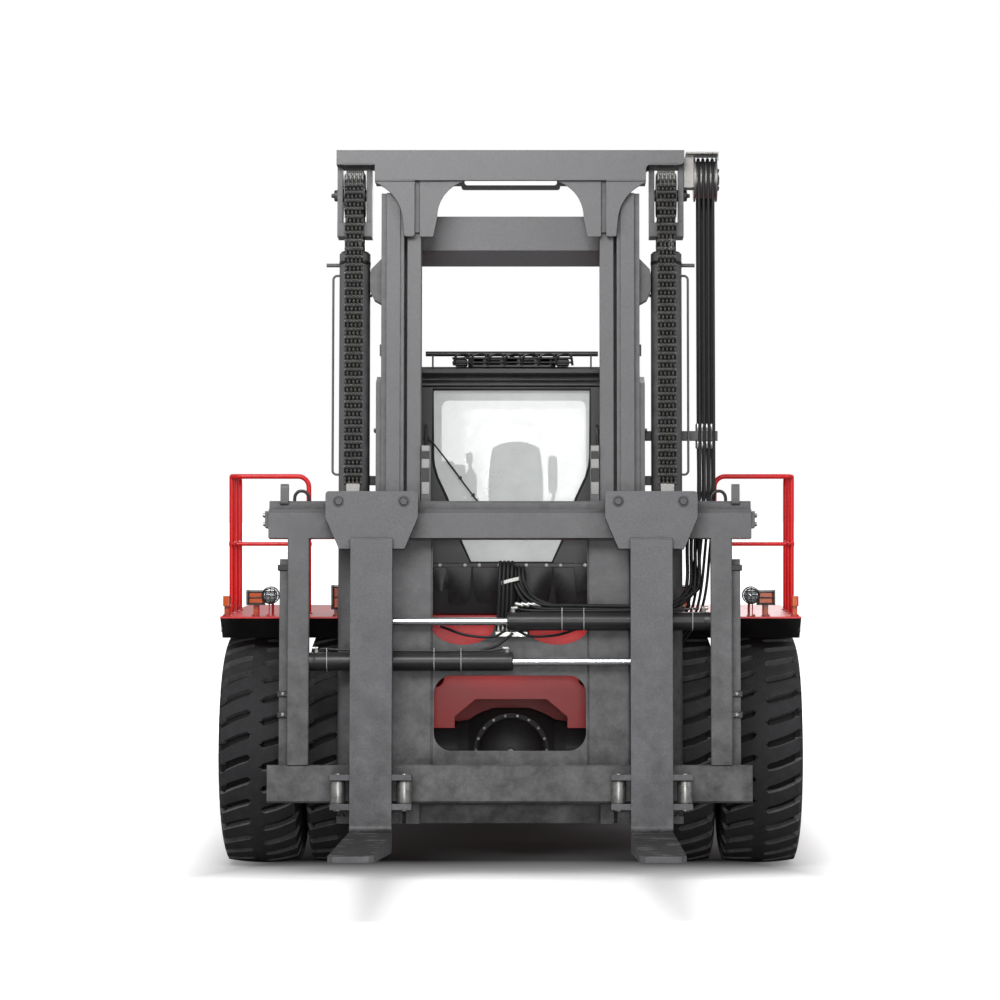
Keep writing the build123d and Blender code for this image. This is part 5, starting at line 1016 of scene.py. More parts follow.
def make_positioner_fittings():
    """End caps, ports, pipes and ties of the two positioner barrels."""
    caps, ports, ties = empty_meshes(3)
    barrels = ((-1, UPPER_POSITIONER, (0.351, 0.498, 1.23)), (1, LOWER_POSITIONER, (-0.328, -0.509, -1.23)))
    port_profile = ((0, 0.017), (0.022, 0.017), (0.026, 0.013), (0.04, 0.013))
    mouth_profile = ((0, 0.044), (0.004, 0.0605), (0.03, 0.0625), (0.034, 0.0595), (0.05, 0.0625),
                     (0.054, 0.0615))
    for sign, z, places in barrels:
        mouth = sign * 0.015
        far = -sign * POSITIONER_FAR
        turned(caps, (mouth + sign * 0.006, POSITIONER_LINE, z), -sign * LEFT, mouth_profile, 40)
        far_profile = ((0, 0.0625), (0.045, 0.0625), (0.05, 0.06))
        turned(caps, (far, POSITIONER_LINE, z), sign * LEFT, far_profile, 40)
        for x in (mouth - sign * 0.035, far + sign * 0.05):
            turned(ports, (x, POSITIONER_LINE, z + 0.055), UP, port_profile, 6)
            turned(ports, (x, POSITIONER_LINE, z + 0.09), -sign * LEFT, ((-0.012, 0.012), (0.03, 0.012)), 12)
        oil_pipe = (
            (mouth - sign * 0.05, POSITIONER_LINE - 0.004, z + 0.09),
            (mouth - sign * 0.2, POSITIONER_LINE - 0.004, z + 0.072),
            (mouth - sign * 0.9, POSITIONER_LINE - 0.004, z + 0.072),
            (far + sign * 0.08, POSITIONER_LINE, z + 0.085),
        )
        pipe(caps, smooth_path(oil_pipe, 10), 0.007, 8)
        for x in places:
            barrel_tie(ties, x, z)
    sleeve = ((-0.02, 0.015), (0.03, 0.0165), (0.034, 0.014))
    crimp = ((0, 0.014), (0.05, 0.0155), (0.06, 0.011))
    for number in range(4):
        x = -0.078 + 0.029 * number
        turned(ports, (x, -1.156, 1.64), (0.02, -0.12, 1), sleeve, 12)
        turned(ports, (x, -1.16, 1.6), UP, ((0, 0.016), (0.03, 0.016)), 6)
        turned(ports, (0.09 + 0.04 * number, -1.2, 1.796), (-1, 0, 0.25), crimp, 12)
    bar(ports, (-0.1, -1.195, 1.585), (0.12, -1.1505, 1.622), 0.004)
    finish_piece("positioner_caps", caps, BLACK_PAINT, "carriage", "black_paint", MAST)
    finish_piece("positioner_ports", ports, ZINC, "carriage", "steel", MAST)
    wrap = circle(Vector((0, -1.183, 1.955)), 1, 0.06 * LEFT, 0.022 * BACK, 28)
    for lift in range(4):
        pipe(ties, [point + (0.006 * lift + 0.25 * point.x) * UP for point in wrap], 0.0034, 6, closed=True)
    finish_piece("positioner_ties", ties, WHITE_TIE, "carriage", "plastic", MAST)


def make_carriage_fittings():
    """Weld beads, conduit clamps, bolts and lifting shackles of the carriage, and pads on the columns, pale
    ones as a painted highlight and black ones as painted shade.
    """
    welds, lit_pads, dark, bolts, handles = empty_meshes(5)
    for edge in (1.355, 1.49):
        weld(welds, (edge, -1.272, 0.726), (edge, -1.272, 2.247), 0.006, 3)
    for x in (0.528, 0.803):
        weld(welds, (x, -1.15, 0.727), (x, -1.15, 2.246), 0.006, 6)
    across = (
        (1.355, 1.49, -1.273, 0.7255, 0.005, 4), (1.355, 1.49, -1.273, 2.2475, 0.005, 5),
        (0.528, 0.803, -1.151, 2.2465, 0.008, 7), (0.528, 0.803, -1.151, 0.7265, 0.008, 8),
        (1.499, 1.552, -1.14, 2.506, 0.006, 9), (0.996, 1.136, -1.161, 2.506, 0.006, 10),
    )
    for inner, outer, y, z, radius, seed in across:
        weld(welds, (inner, y, z), (outer, y, z), radius, seed)
    # column pads: the pale ones are a painted highlight, the black ones painted shade
    for low, high in ((2.555, 2.638), (2.735, 2.795), (2.85, 2.886)):
        bar(lit_pads, (0.549, -1.1148, low), (0.601, -1.111, high), 0.0012)
    for low, high in ((2.642, 2.731), (2.799, 2.846)):
        bar(dark, (0.549, -1.1135, low), (0.601, -1.111, high), 0.001)
    for z in (2.05, 1.2, 1.06):
        bar(dark, (1.485, -1.245, z - 0.02), (1.565, -1.2, z + 0.02), 0.004)
    bolt_rows(bolts, (1.525,), (-1.245,), (1.06, 1.2), -BACK, 0.02)
    bolt_rows(bolts, (1.65,), (-1.24, -1.17), (2.345, 2.405), LEFT, 0.024)
    loop = ((1.46, 2.503), (1.455, 2.545), (1.43, 2.572), (1.39, 2.57), (1.365, 2.54), (1.36, 2.503))
    pipe(handles, smooth_path([(x, -1.15, z) for x, z in loop], 6), 0.011, 12)
    finish_piece("carriage_welds", welds, GREY_PAINT, "carriage", "grey_paint", MAST, sharp=70, both=True)
    finish_piece("column_lit_pads", lit_pads, PAD_HIGHLIGHT_PAINT, "carriage", "grey_paint", MAST, both=True)
    finish_piece("clamps_and_shaded_pads", dark, BLACK_PAINT, "carriage", "black_paint", MAST, both=True)
    finish_piece("carriage_bolts", bolts, STEEL, "carriage", "steel", MAST, both=True)
    finish_piece("lifting_handles", handles, BLACK_PAINT, "carriage", "black_paint", MAST, both=True)


FORK_PLACES = {"left": 0.95, "right": -0.926}


def make_fork_fittings():
    """Screws of the hook plates, weld beads, guide rollers and the positioner lugs' pins."""
    roller = ((0, 0.04), (0.002, 0.0485), (0.012, 0.0508), (0.144, 0.0508), (0.154, 0.0485), (0.156, 0.04))
    pin_cap = ((-0.002, 0.03), (0.006, 0.03), (0.009, 0.026))
    for side, sign in SIDES:
        x = FORK_PLACES[side]
        screws, welds, rollers = empty_meshes(3)
        for offset in (-0.222, 0.215):
            socket_screw(screws, (x + offset, -1.392, 2.487), -BACK, 0.026)
        lug_z = UPPER_POSITIONER if side == "right" else LOWER_POSITIONER
        nut = ((-0.002, 0.042), (0.026, 0.042), (0.03, 0.036))
        turned(screws, (x - sign * 0.0505, POSITIONER_LINE, lug_z), -sign * LEFT, nut, 6)
        finish_piece(f"fork_screws_{side}", screws, DARK_STEEL, f"fork_{side}", "steel", MAST)
        weld(welds, (x - 0.14, -1.393, 2.231), (x + 0.14, -1.393, 2.231), 0.012, 11)
        for edge in (x - 0.141, x + 0.141):
            weld(welds, (edge, -1.36, 2.168), (edge, -1.3, 2.168), 0.008, 12)
            weld(welds, (edge, -1.393, 2.17), (edge, -1.393, 2.226), 0.009, 13)
            for z in (0.426, 0.464, 0.623, 0.659):
                weld(welds, (edge, -1.4, z), (edge, -1.29, z), 0.005, 14)
        finish_piece(f"fork_welds_{side}", welds, GREY_PAINT, f"fork_{side}", "grey_paint", MAST, sharp=70)
        for middle_x in (x - 0.222, x + 0.222):
            turned(rollers, (middle_x, -1.335, 0.4655), UP, roller, 40)
            for z, way in ((0.6595, UP), (0.4255, -UP)):
                turned(rollers, (middle_x, -1.335, z), way, pin_cap, 24)
        finish_piece(f"guide_rollers_{side}", rollers, WORN_STEEL, f"fork_{side}", "steel", MAST)


make_carriage_hoses()
make_positioner_fittings()
make_carriage_fittings()
make_fork_fittings()


# Mast bolts, weld beads, pins and brackets
def make_mast_fittings():
    """What is bolted and welded to the two mast stages."""
    bolts, glands, caps, welds = empty_meshes(4)
    bolt_rows(bolts, (0.952,), (-1.0, -0.96), (4.02, 3.93), LEFT, 0.016)
    bolt_rows(bolts, (1.0, 1.13), (-1.06, -0.9), (0.38,), UP, 0.03)
    bolt_rows(bolts, (0.916,), (-1.03, -0.93), (0.6, 1.2, 1.8, 2.4, 3.0), LEFT, 0.022)
    finish_piece("outer_mast_bolts", bolts, DARK_STEEL, "outer_mast", "steel", MAST, both=True)
    gland_profile = ((0.002, 0.104), (0.012, 0.108), (0.03, 0.108), (0.034, 0.104))
    wiper_profile = ((0, 0.0975), (0.01, 0.096), (0.016, 0.088))
    turned(glands, (CYLINDER, MAST_MIDDLE, 4.2152), UP, wiper_profile, 48)
    turned(glands, (CYLINDER, MAST_MIDDLE, 4.13), UP, gland_profile, 48)
    finish_piece("barrel_glands", glands, BLACK_PAINT, "outer_mast", "black_paint", MAST, both=True)
    turned(caps, (1.2, MAST_MIDDLE, SHEAVE), LEFT, ((0, 0.038), (0.006, 0.038), (0.01, 0.033)), 32)
    hex_bolt(caps, (1.21, MAST_MIDDLE, SHEAVE), LEFT, 0.028)
    mirrored(caps)
    bolt_circle(caps, (1.4152, MAST_MIDDLE, HOSE_WHEEL), 0.07, LEFT, 0.02, 6)
    turned(caps, (1.415, MAST_MIDDLE, HOSE_WHEEL), LEFT, ((-0.001, 0.045), (0.01, 0.043), (0.016, 0.03)), 28)
    finish_piece("sheave_caps", caps, DARK_STEEL, "inner_mast", "steel", MAST)
    weld(welds, (0.655, -1.1505, 4.698), (0.92, -1.1505, 4.698), 0.007, 21)
    weld(welds, (0.34, -1.1345, 4.698), (0.61, -1.1345, 4.698), 0.007, 22)
    for x in (0.9885, 1.1435):
        weld(welds, (x, -1.069, 4.33), (x, -1.069, 4.4), 0.006, 23)
    weld(welds, (0.94, -1.154, 4.8085), (1.14, -1.154, 4.8085), 0.006, 24)
    finish_piece("inner_mast_welds", welds, GREY_PAINT, "inner_mast", "grey_paint", MAST, sharp=70, both=True)


# Tilt cylinders: pin caps on the chassis and the outer mast
def make_tilt_fittings():
    """Pin caps where the tilt cylinders and the mast are held."""
    pins, eyes, pivots = empty_meshes(3)
    for edge in (-1, 1):
        pin_cap = ((0, 0.055), (0.008, 0.055), (0.012, 0.048))
        turned(pins, (0.56 + edge * 0.1195, 0.65, 1.33), edge * LEFT, pin_cap, 28)
        eye_cap = ((0, 0.05), (0.008, 0.05), (0.011, 0.044))
        turned(eyes, (0.56 + edge * 0.0695, -0.71, 1.48), edge * LEFT, eye_cap, 28)
    finish_piece("tilt_pin_caps", pins, DARK_STEEL, "chassis", "steel", both=True)
    finish_piece("tilt_eye_caps", eyes, DARK_STEEL, "outer_mast", "steel", MAST, both=True)
    pivot_cap = ((0, 0.075), (0.012, 0.075), (0.018, 0.066))
    turned(pivots, (0.8215, PIVOT_BEHIND_AXLE, PIVOT_HEIGHT), LEFT, pivot_cap, 32)
    bolt_circle(pivots, (0.839, PIVOT_BEHIND_AXLE, PIVOT_HEIGHT), 0.045, LEFT, 0.018, 4, 0.5)
    finish_piece("mast_pivot_caps", pivots, DARK_STEEL, "chassis", "steel", both=True)


make_mast_fittings()
make_tilt_fittings()


# Cab: flaps under the windshield, seals, wiper, handles, rails and the unit on its roof
SILL = 2.1103
BROW = 3.3403
CAB_FRONT = -0.12
FLAP_CELLS = 10
FLAP_THICKNESS = 0.006


def windshield_front(z):
    """How far forward the cab's front is at a height."""
    return CAB_FRONT - 0.04 + 0.1 * (z - SILL) / (BROW - SILL)


def on_windshield(points, stand_off):
    """Points given across and up, placed a little in front of the windshield."""
    return [(x, windshield_front(z) - stand_off, z) for x, z in points]


def flap_sheet(flap, depth, thickness):
    """One face of a rubber flap that narrows and curls towards its foot."""
    left, right, bottom, left_curl, right_curl = flap
    top = SILL - 0.02
    sheet = []
    for row in range(FLAP_CELLS + 1):
        share = row / FLAP_CELLS
        narrow = 0.12 * (right - left) * share * share
        line = []
        for column in range(FLAP_CELLS + 1):
            across = column / FLAP_CELLS
            low = bottom + 0.05 * abs(across - 0.35) ** 1.4
            curl = (left_curl * (1 - across) ** 2 + right_curl * across**2) * share**1.6
            y = depth - thickness + curl - 0.012 * math.sin(math.pi * across) * share
            x = left + narrow + (right - left - 2 * narrow) * across
            line.append((x, min(y, -0.1225 - thickness), top + (low - top) * share))
        sheet.append(line)
    return sheet


def make_flaps():
    """Rubber flaps that overlap and curl, on a strip with round bolts."""
    flaps_mesh, strip, bolts = empty_meshes(3)
    flaps = (
        (-0.545, -0.43, 1.91, 0.0, 0.01), (-0.455, -0.28, 1.81, 0.03, -0.03),
        (-0.27, -0.02, 1.83, -0.05, 0.05), (0.08, 0.285, 1.815, -0.02, 0.055),
        (0.295, 0.47, 1.815, 0.035, -0.03), (0.44, 0.545, 1.9, -0.03, 0.0),
    )
    for number, flap in enumerate(flaps):
        depth = -0.1685 - 0.0045 * (number % 2)
        two_sheets(flaps_mesh, [flap_sheet(flap, depth, thickness) for thickness in (0.0, FLAP_THICKNESS)])
    flap_piece = finish_piece("rubber_flap_set", flaps_mesh, FLAP_RUBBER, "chassis", "hose", sharp=60)
    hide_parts("rubber_flaps")
    bar(strip, (-0.56, -0.1806, SILL - 0.032), (0.56, -0.1603, SILL - 0.002), 0.003)
    finish_piece("flap_strip", strip, BLACK_PAINT, "chassis", "black_paint")
    dome = ((-0.001, 0.0125), (0.004, 0.0125), (0.007, 0.009), (0.0085, 0.004))
    for x in (-0.5, -0.325, -0.225, -0.085, 0.105, 0.245, 0.345, 0.515):
        turned(bolts, (x, -0.1806, SILL - 0.017), -BACK, dome, 16)
    finish_piece("flap_bolts", bolts, WHITE_TIE, "chassis", "steel")


def make_door_fittings():
    """The seal and the handle of each cab door."""
    corner_radius = 0.07
    corners = ((0.215, 2.325), (0.905, 2.325), (0.905, 3.165), (0.215, 3.165))
    for side, sign in SIDES:
        door = f"cab_door_{side}"
        outline = []
        for index, (y, z) in enumerate(corners):
            for degrees in range(0, 91, 30):
                turn = math.radians(degrees + 90 * (index + 2))
                place = (y + corner_radius * math.cos(turn), z + corner_radius * math.sin(turn))
                outline.append((sign * 0.719, *place))
        seal, handle = empty_meshes(2)
        pipe(seal, outline, 0.007, 8, closed=True)
        bar(seal, (sign * 0.7, 0.87, 2.14), (sign * 0.7215, 0.98, 2.165), 0.004)
        finish_piece(f"{door}_seal", seal, HOSE_RUBBER, door, "hose")
        bar(handle, (sign * 0.698, 0.872, 2.142), (sign * 0.722, 0.972, 2.162), 0.005)
        finish_piece(f"{door}_handle", handle, PLASTIC, door, "plastic")


def make_cab_fittings():
    """The windshield's rubber seal, the wiper, the grab rails and the unit on the roof."""
    seal, wiper, rails, roof = empty_meshes(4)
    half = ((0.551, 3.326), (0.551, 2.85), (0.544, 2.79), (0.521, 2.71), (0.488, 2.64), (0.45, 2.558),
            (0.358, 2.27), (0.284, 2.111))
    outline = [*half, *((-x, z) for x, z in reversed(half))]
    pipe(seal, on_windshield(outline, 0.0005), 0.0085, 8, closed=True)
    finish_piece("windshield_seal", seal, HOSE_RUBBER, "chassis", "hose")
    arm = ((-0.554, 2.955), (-0.41, 2.77), (-0.33, 2.66), (-0.2, 2.49))
    pipe(wiper, on_windshield(arm, 0.022), 0.006, 8)
    blade = ((-0.45, 2.824), (-0.176, 2.464), (-0.182, 2.456), (-0.456, 2.816))
    slab(wiper, on_windshield(blade, 0.008), (0, -0.012, 0))
    for x, z in ((-0.36, 2.705), (-0.27, 2.585)):
        front = windshield_front(z)
        bar(wiper, (x - 0.012, front - 0.03, z - 0.012), (x + 0.012, front - 0.008, z + 0.012), 0.003)
    spindle = windshield_front(2.98)
    turned(wiper, (-0.6, spindle + 0.002, 2.985), -BACK, ((0, 0.02), (0.02, 0.018), (0.03, 0.012)), 20)
    pipe(wiper, ((-0.6, spindle - 0.024, 2.985), *on_windshield(arm[:1], 0.022)), 0.007, 8)
    finish_piece("wiper", wiper, PLASTIC, "chassis", "plastic")
    front_rail = ((0.6, -0.098, 2.42), (0.6, -0.165, 2.44), (0.6, -0.13, 3.02), (0.6, -0.066, 3.04))
    side_rail = ((0.718, 1.14, 2.1), (0.765, 1.14, 2.13), (0.765, 1.14, 2.95), (0.718, 1.14, 2.98))
    for sign in SIGNS:
        for points, radius in ((front_rail, 0.011), (side_rail, 0.012)):
            pipe(rails, smooth_path([(sign * x, y, z) for x, y, z in points]), radius, 12)
    finish_piece("cab_grab_rails", rails, BLACK_PAINT, "chassis", "black_paint")
    bar(roof, (-0.54, 0.03, 3.25), (0.54, 0.04, 3.338), 0.004)
    for number in range(7):
        x = -0.36 + 0.12 * number
        bar(roof, (x - 0.045, 0.06, 3.495), (x + 0.045, 0.24, 3.545 + 0.012 * (number % 2)), 0.008)
        ends = ((x - 0.05, 0.05, 3.5), (x - 0.03, 0.04, 3.57), (x + 0.05, 0.05, 3.575), (x + 0.07, 0.06, 3.5))
        pipe(roof, smooth_path(ends, 6), 0.009, 8)
    for low, high, reach in ((3.352, 3.372, 0.012), (3.392, 3.404, 0.006), (3.44, 3.474, 0.016)):
        bar(roof, (-0.715, -0.0605 - reach, low), (0.715, -0.059, high), 0.003)
    for level in (3.52, 3.55):
        pipe(roof, ((-0.42, 0.048, level), (0.42, 0.048, level)), 0.008, 8)
    fan = ((0, 0.052), (0.01, 0.052), (0.014, 0.044), (0.014, 0.02), (0.02, 0.018))
    for number in range(5):
        turned(roof, (-0.32 + 0.16 * number, 0.17, 3.548), UP, fan)
    finish_piece("roof_unit", roof, BLACK_PAINT, "chassis", "black_paint")


# Lamps on the platforms, each with its shell, lens and guard
LAMP_LINE = -0.56
DECK = 1.75
DECK_EDGE = 1.999
ROUND_LAMP = (1.656, DECK + 0.145)
ROUND_GUARD = 0.058


def make_lamp_guards():
    """Wire guards in front of the round lamps and the square ones."""
    guards = bmesh.new()
    x, z = ROUND_LAMP
    for ring, y in ((0.05, -0.612), (ROUND_GUARD, -0.596), (ROUND_GUARD, -0.52)):
        pipe(guards, circle(Vector((x, y, z)), ring, LEFT, UP, 28), 0.0028, 6, closed=True)
    for offset in (-0.03, 0, 0.03):
        tall = math.sqrt(ROUND_GUARD**2 - offset**2)
        wire = [(share * tall, y) for share, y in ((-1, -0.6), (-0.8, -0.62), (0.8, -0.62), (1, -0.6))]
        pipe(guards, [(x + offset, y, z + along) for along, y in wire], 0.0025, 6)
        pipe(guards, [(x + along, y, z + offset) for along, y in wire], 0.0025, 6)
    for corner in (-0.04, 0.04):
        low = z - 0.042
        foot = ((x + corner, -0.6, low), (x + corner, -0.54, low), (x + corner * 0.5, -0.545, z - 0.05))
        pipe(guards, foot, 0.003, 6)
    for left, right, low, high in ((1.695, 1.819, 1.832, 1.93), (1.166, 1.234, 1.802, 1.964)):
        for level in (low, high):
            hoop = ((left, -0.52), (left, -0.6), (right, -0.6), (right, -0.52))
            pipe(guards, [(edge, y, level) for edge, y in hoop], 0.003, 6)
        for edge in (left, right):
            pipe(guards, ((edge, -0.6, low), (edge, -0.6, high)), 0.003, 6)
    finish_piece("lamp_guards", guards, BLACK_PAINT, "chassis", "black_paint", both=True)


def make_platform_lamps():
    """Shells, lenses and brackets of the lamps above the front wheels."""
    shells, lenses, brackets = empty_meshes(3)
    x, z = ROUND_LAMP
    shell = ((0, 0.02), (0.006, 0.036), (0.05, 0.046), (0.09, 0.0475), (0.094, 0.046), (0.094, 0.043))
    turned(shells, (x, -0.512, z), -BACK, shell, 32)
    for left, right, low, high in ((1.703, 1.811, 1.84, 1.92), (1.174, 1.226, 1.81, 1.954)):
        bar(shells, (left - 0.003, -0.53, low - 0.003), (right + 0.003, -0.508, high + 0.003), 0.004)
        for edge in (left, right):
            bar(shells, (edge - 0.007, -0.596, low - 0.006), (edge + 0.005, -0.512, high + 0.006), 0.003)
        for edge in (low, high, (low + high) / 2):
            bar(shells, (left - 0.005, -0.596, edge - 0.006), (right + 0.005, -0.585, edge + 0.004), 0.003)
    shell_piece = finish_piece("lamp_shells", shells, BLACK_PAINT, "chassis", "black_paint", both=True)
    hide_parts("head_lamps")
    turned(lenses, (x, -0.604, z), -BACK, ((0, 0.0455), (0.003, 0.044), (0.009, 0.028), (0.011, 0.01)), 32)
    finish_piece("lamp_lenses", lenses, LAMP_GLASS, "chassis", "glass", both=True)
    make_lamp_guards()
    for x in (1.656, 1.757, 1.958, 1.2):
        far_corner = (x + 0.03, LAMP_LINE + 0.03, DECK + 0.006)
        bar(brackets, (x - 0.03, LAMP_LINE - 0.03, DECK - 0.001), far_corner, 0.002)
        pipe(brackets, [(x - 0.018, LAMP_LINE, DECK + rise) for rise in (0.002, 0.1)], 0.006, 8)
        bolt_rows(brackets, (x - 0.02, x + 0.02), (LAMP_LINE - 0.018,), (DECK + 0.006,), UP, 0.012)
    for x in (1.646, 1.666):
        low = (x - 0.003, LAMP_LINE - 0.02, DECK + 0.004)
        bar(brackets, low, (x + 0.003, LAMP_LINE + 0.02, DECK + 0.118), 0.001)
    finish_piece("lamp_brackets", brackets, RED_PAINT, "chassis", "red_paint", both=True)


def make_platform_fittings():
    """Railing feet, post clamps and the ribs on the steps."""
    feet, ribs = empty_meshes(2)
    posts = ((1.425, -0.07), (1.972, -0.0155), (1.972, 0.3445), (1.972, 0.65))
    for x, y in posts:
        far_corner = (min(x + 0.026, DECK_EDGE), y + 0.045, DECK + 0.008)
        bar(feet, (x - 0.026, y - 0.045, DECK - 0.001), far_corner, 0.002)
        bolt_rows(feet, (x,), (y - 0.034, y + 0.034), (DECK + 0.008,), UP, 0.012)
        turned(feet, (x, y, DECK + 0.006), UP, ((0, 0.0225), (0.006, 0.0185)), 20)
    for x, y in posts[:3]:
        turned(feet, (x, y, 2.225), UP, ((0, 0.018), (0.003, 0.0205), (0.027, 0.0205), (0.03, 0.018)), 20)
    finish_piece("railing_feet", feet, RED_PAINT, "chassis", "red_paint", both=True)
    for number, line in itertools.product(range(3), range(9)):
        y = 1.0 + line * 0.056
        z = 0.51 + number * (DECK - 0.48) / 3.2
        bar(ribs, (1.49, y - 0.008, z - 0.001), (1.75, y + 0.008, z + 0.004), 0.0015)
    finish_piece("step_ribs", ribs, RED_PAINT, "chassis", "red_paint", both=True)


# Driver's seat
SEAT_X = 0.02
SEAT_Z = 2.2
CUSHION_CELLS = 22


def cushion(mesh, middle_point, size, lean, crown, grooves=()):
    """A stuffed block whose faces swell between its sewn edges."""
    tilt = Matrix.Rotation(lean, 3, "X")
    steps = [2 * step / CUSHION_CELLS - 1 for step in range(CUSHION_CELLS + 1)]
    sheets = ([], [])
    for face, sheet in zip(SIGNS, sheets):
        for v in steps:
            line = []
            for u in steps:
                squared_u = u * math.sqrt(1 - 0.26 * v * v)
                squared_v = v * math.sqrt(1 - 0.26 * u * u)
                swell = (1 - u**4) * (1 - v**4)
                height = 0.5 * size[2] * (0.62 + crown * swell ** 0.45)
                for groove, along in grooves:
                    distance = abs((u if along == "x" else v) - groove)
                    height -= 0.02 * size[2] * math.exp(-((distance / 0.035) ** 2)) * swell * 3
                point = Vector((squared_u * size[0] / 2, squared_v * size[1] / 2, face * height))
                line.append(Vector(middle_point) + tilt @ point)
            sheet.append(line)
    two_sheets(mesh, sheets)


def make_seat():
    """A suspension seat: base, bellows, cushion, back, head rest and arm rests."""
    base, cushions, arms, levers = empty_meshes(4)
    bar(base, (SEAT_X - 0.16, 0.66, 1.811), (SEAT_X + 0.16, 0.98, 1.86), 0.01)
    for fold in range(7):
        z = 1.862 + fold * 0.045
        for low, high, inset in ((z, z + 0.022, 0.0), (z + 0.022, z + 0.045, 0.022)):
            half = 0.15 - inset
            bar(base, (SEAT_X - half, 0.67 + inset, low), (SEAT_X + half, 0.97 - inset, high), 0.006)
    bar(base, (SEAT_X - 0.2, 0.58, 2.176), (SEAT_X + 0.2, 1.0, 2.206), 0.008)
    seat_base = finish_piece("seat_base", base, PLASTIC, "chassis", "plastic")
    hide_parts("driver_seat")
    upright = math.radians(82)
    blocks = (
        ((0, 0.79, 0.07), (0.47, 0.5, 0.14), 0.06, 0.36, ((-0.62, "x"), (0.62, "x"), (0.1, "y"))),
        ((0, 0.99, 0.41), (0.4, 0.72, 0.14), upright, 0.36, ((-0.66, "x"), (0.66, "x"))),
        ((0, 0.93, 0.33), (0.25, 0.36, 0.09), upright, 0.3, ((0.0, "y"), (0.5, "y"))),
        ((0.27, 0.95, 0.53), (0.07, 0.28, 0.06), math.radians(84), 0.4),
        ((-0.27, 0.82, 0.3), (0.07, 0.3, 0.06), 0.08, 0.4),
    )
    for (x, y, z), *form in blocks:
        cushion(cushions, (SEAT_X + x, y, SEAT_Z + z), *form)
    pad = finish_piece("seat_cushions", cushions, SEAT_CLOTH, "chassis", "seat", sharp=60)
    raised = ((0.2, 1.01, 0.3), (0.27, 1.0, 0.34), (0.27, 0.97, 0.46))
    lowered = ((-0.2, 1.01, 0.28), (-0.27, 0.98, 0.285), (-0.27, 0.86, 0.28))
    for points in (raised, lowered):
        pipe(arms, smooth_path([(SEAT_X + x, y, SEAT_Z + z) for x, y, z in points], 6), 0.013)
    bar(arms, (-0.54, 0.5, 2.561), (-0.34, 0.62, 2.8), 0.016)
    bar(arms, (-0.34, 0.52, 2.561), (-0.26, 0.7, 2.74), 0.012)
    bar(arms, (-0.545, 0.46, 2.78), (-0.42, 0.5, 2.825), 0.01)
    joystick = ((0, 0.03), (0.02, 0.026), (0.04, 0.013), (0.07, 0.012), (0.08, 0.022), (0.13, 0.026),
                (0.155, 0.015))
    turned(arms, (-0.3, 0.58, 2.735), (-0.1, -0.1, 1), joystick, 20)
    finish_piece("seat_arms", arms, PLASTIC, "chassis", "plastic")
    boot = ((0, 0.026), (0.01, 0.024), (0.03, 0.017), (0.045, 0.0115))
    grip = ((0, 0.012), (0.02, 0.0235), (0.05, 0.0245), (0.075, 0.02), (0.09, 0.01))
    for x in (-0.48, -0.4, -0.32):
        turned(levers, (x, 0.6395, 2.535), (0, -0.12, 1), boot, 20)
        turned(levers, (x, 0.623, 2.66), (0, -0.12, 1), grip, 20)
    finish_piece("lever_grips", levers, PLASTIC, "chassis", "plastic")


make_flaps()
make_door_fittings()
make_cab_fittings()
make_platform_lamps()
make_platform_fittings()
make_seat()


# Hood, tanks, exhaust and air cleaner
EXHAUST = (0.84, 1.85)
AIR_CLEANER = (-0.88, 1.85)


def make_body_fittings():
    """Latches, straps, caps, bands and bolts of the bodywork behind the cab."""
    dark, steel = empty_meshes(2)
    for place, radius, levels in ((EXHAUST, 0.1302, (1.95, 2.3)), (AIR_CLEANER, 0.1702, (1.9, 2.2))):
        strap = ((0, radius), (0.001, radius + 0.004), (0.029, radius + 0.004), (0.03, radius))
        for z in levels:
            turned(dark, (*place, z), UP, strap, 40)
    turned(dark, (*EXHAUST, 2.4995), UP, ((0, 0.124), (0.012, 0.11), (0.03, 0.075), (0.04, 0.0625)), 40)
    turned(dark, (*AIR_CLEANER, 2.5095), UP, ((0, 0.126), (0.016, 0.122), (0.03, 0.1), (0.036, 0.03)), 40)
    turned(dark, (*AIR_CLEANER, 2.3495), UP, ((0, 0.165), (0.015, 0.15), (0.024, 0.09), (0.03, 0.0715)), 40)
    for sign in SIGNS:
        cap = ((-0.001, 0.066), (0.02, 0.066), (0.028, 0.058), (0.03, 0.02))
        turned(dark, (sign * 1.241, 1.87, 1.62), UP, cap, 12)
        bolt_rows(steel, (sign * 1.424,), (1.97, 2.87), (0.72, 1.56), sign * LEFT, 0.02)
        bolt_rows(steel, (sign * 0.69,), (2.15, 3.55), (1.86, 2.1), sign * LEFT, 0.018)
        for y in (2.3, 3.3):
            bar(dark, (sign * 0.689, y - 0.04, 1.66), (sign * 0.712, y + 0.04, 1.69), 0.004)
            bar(dark, (sign * 0.689, y - 0.018, 1.67), (sign * 0.722, y + 0.018, 1.74), 0.005)
        for y, z in ((4.6, 1.9895), (6.05, 1.975)):
            turned(steel, (sign * 0.8, y, z), UP, ((-0.02, 0.055), (0.012, 0.055), (0.02, 0.045)), 6)
    handle = ((-0.25, 1.982, 2.02), (-0.25, 1.94, 2.03), (0.25, 1.94, 2.03), (0.25, 1.982, 2.02))
    pipe(dark, smooth_path(handle), 0.011, 12)
    bolt_rows(steel, (-0.5, -0.17, 0.17, 0.5), (4.379,), (2.0, 2.33), BACK, 0.014)
    finish_piece("body_fittings", dark, BLACK_PAINT, "chassis", "black_paint")
    finish_piece("body_bolts", steel, DARK_STEEL, "chassis", "steel")


make_body_fittings()


# Floor, backdrop and lights
FLOOR_SIZE = 400
FLOOR_BOUNCE = (0.3, 0.3, 0.3, 1)
FLOOR_SHOWS = (0.93, 0.93, 0.93, 1)
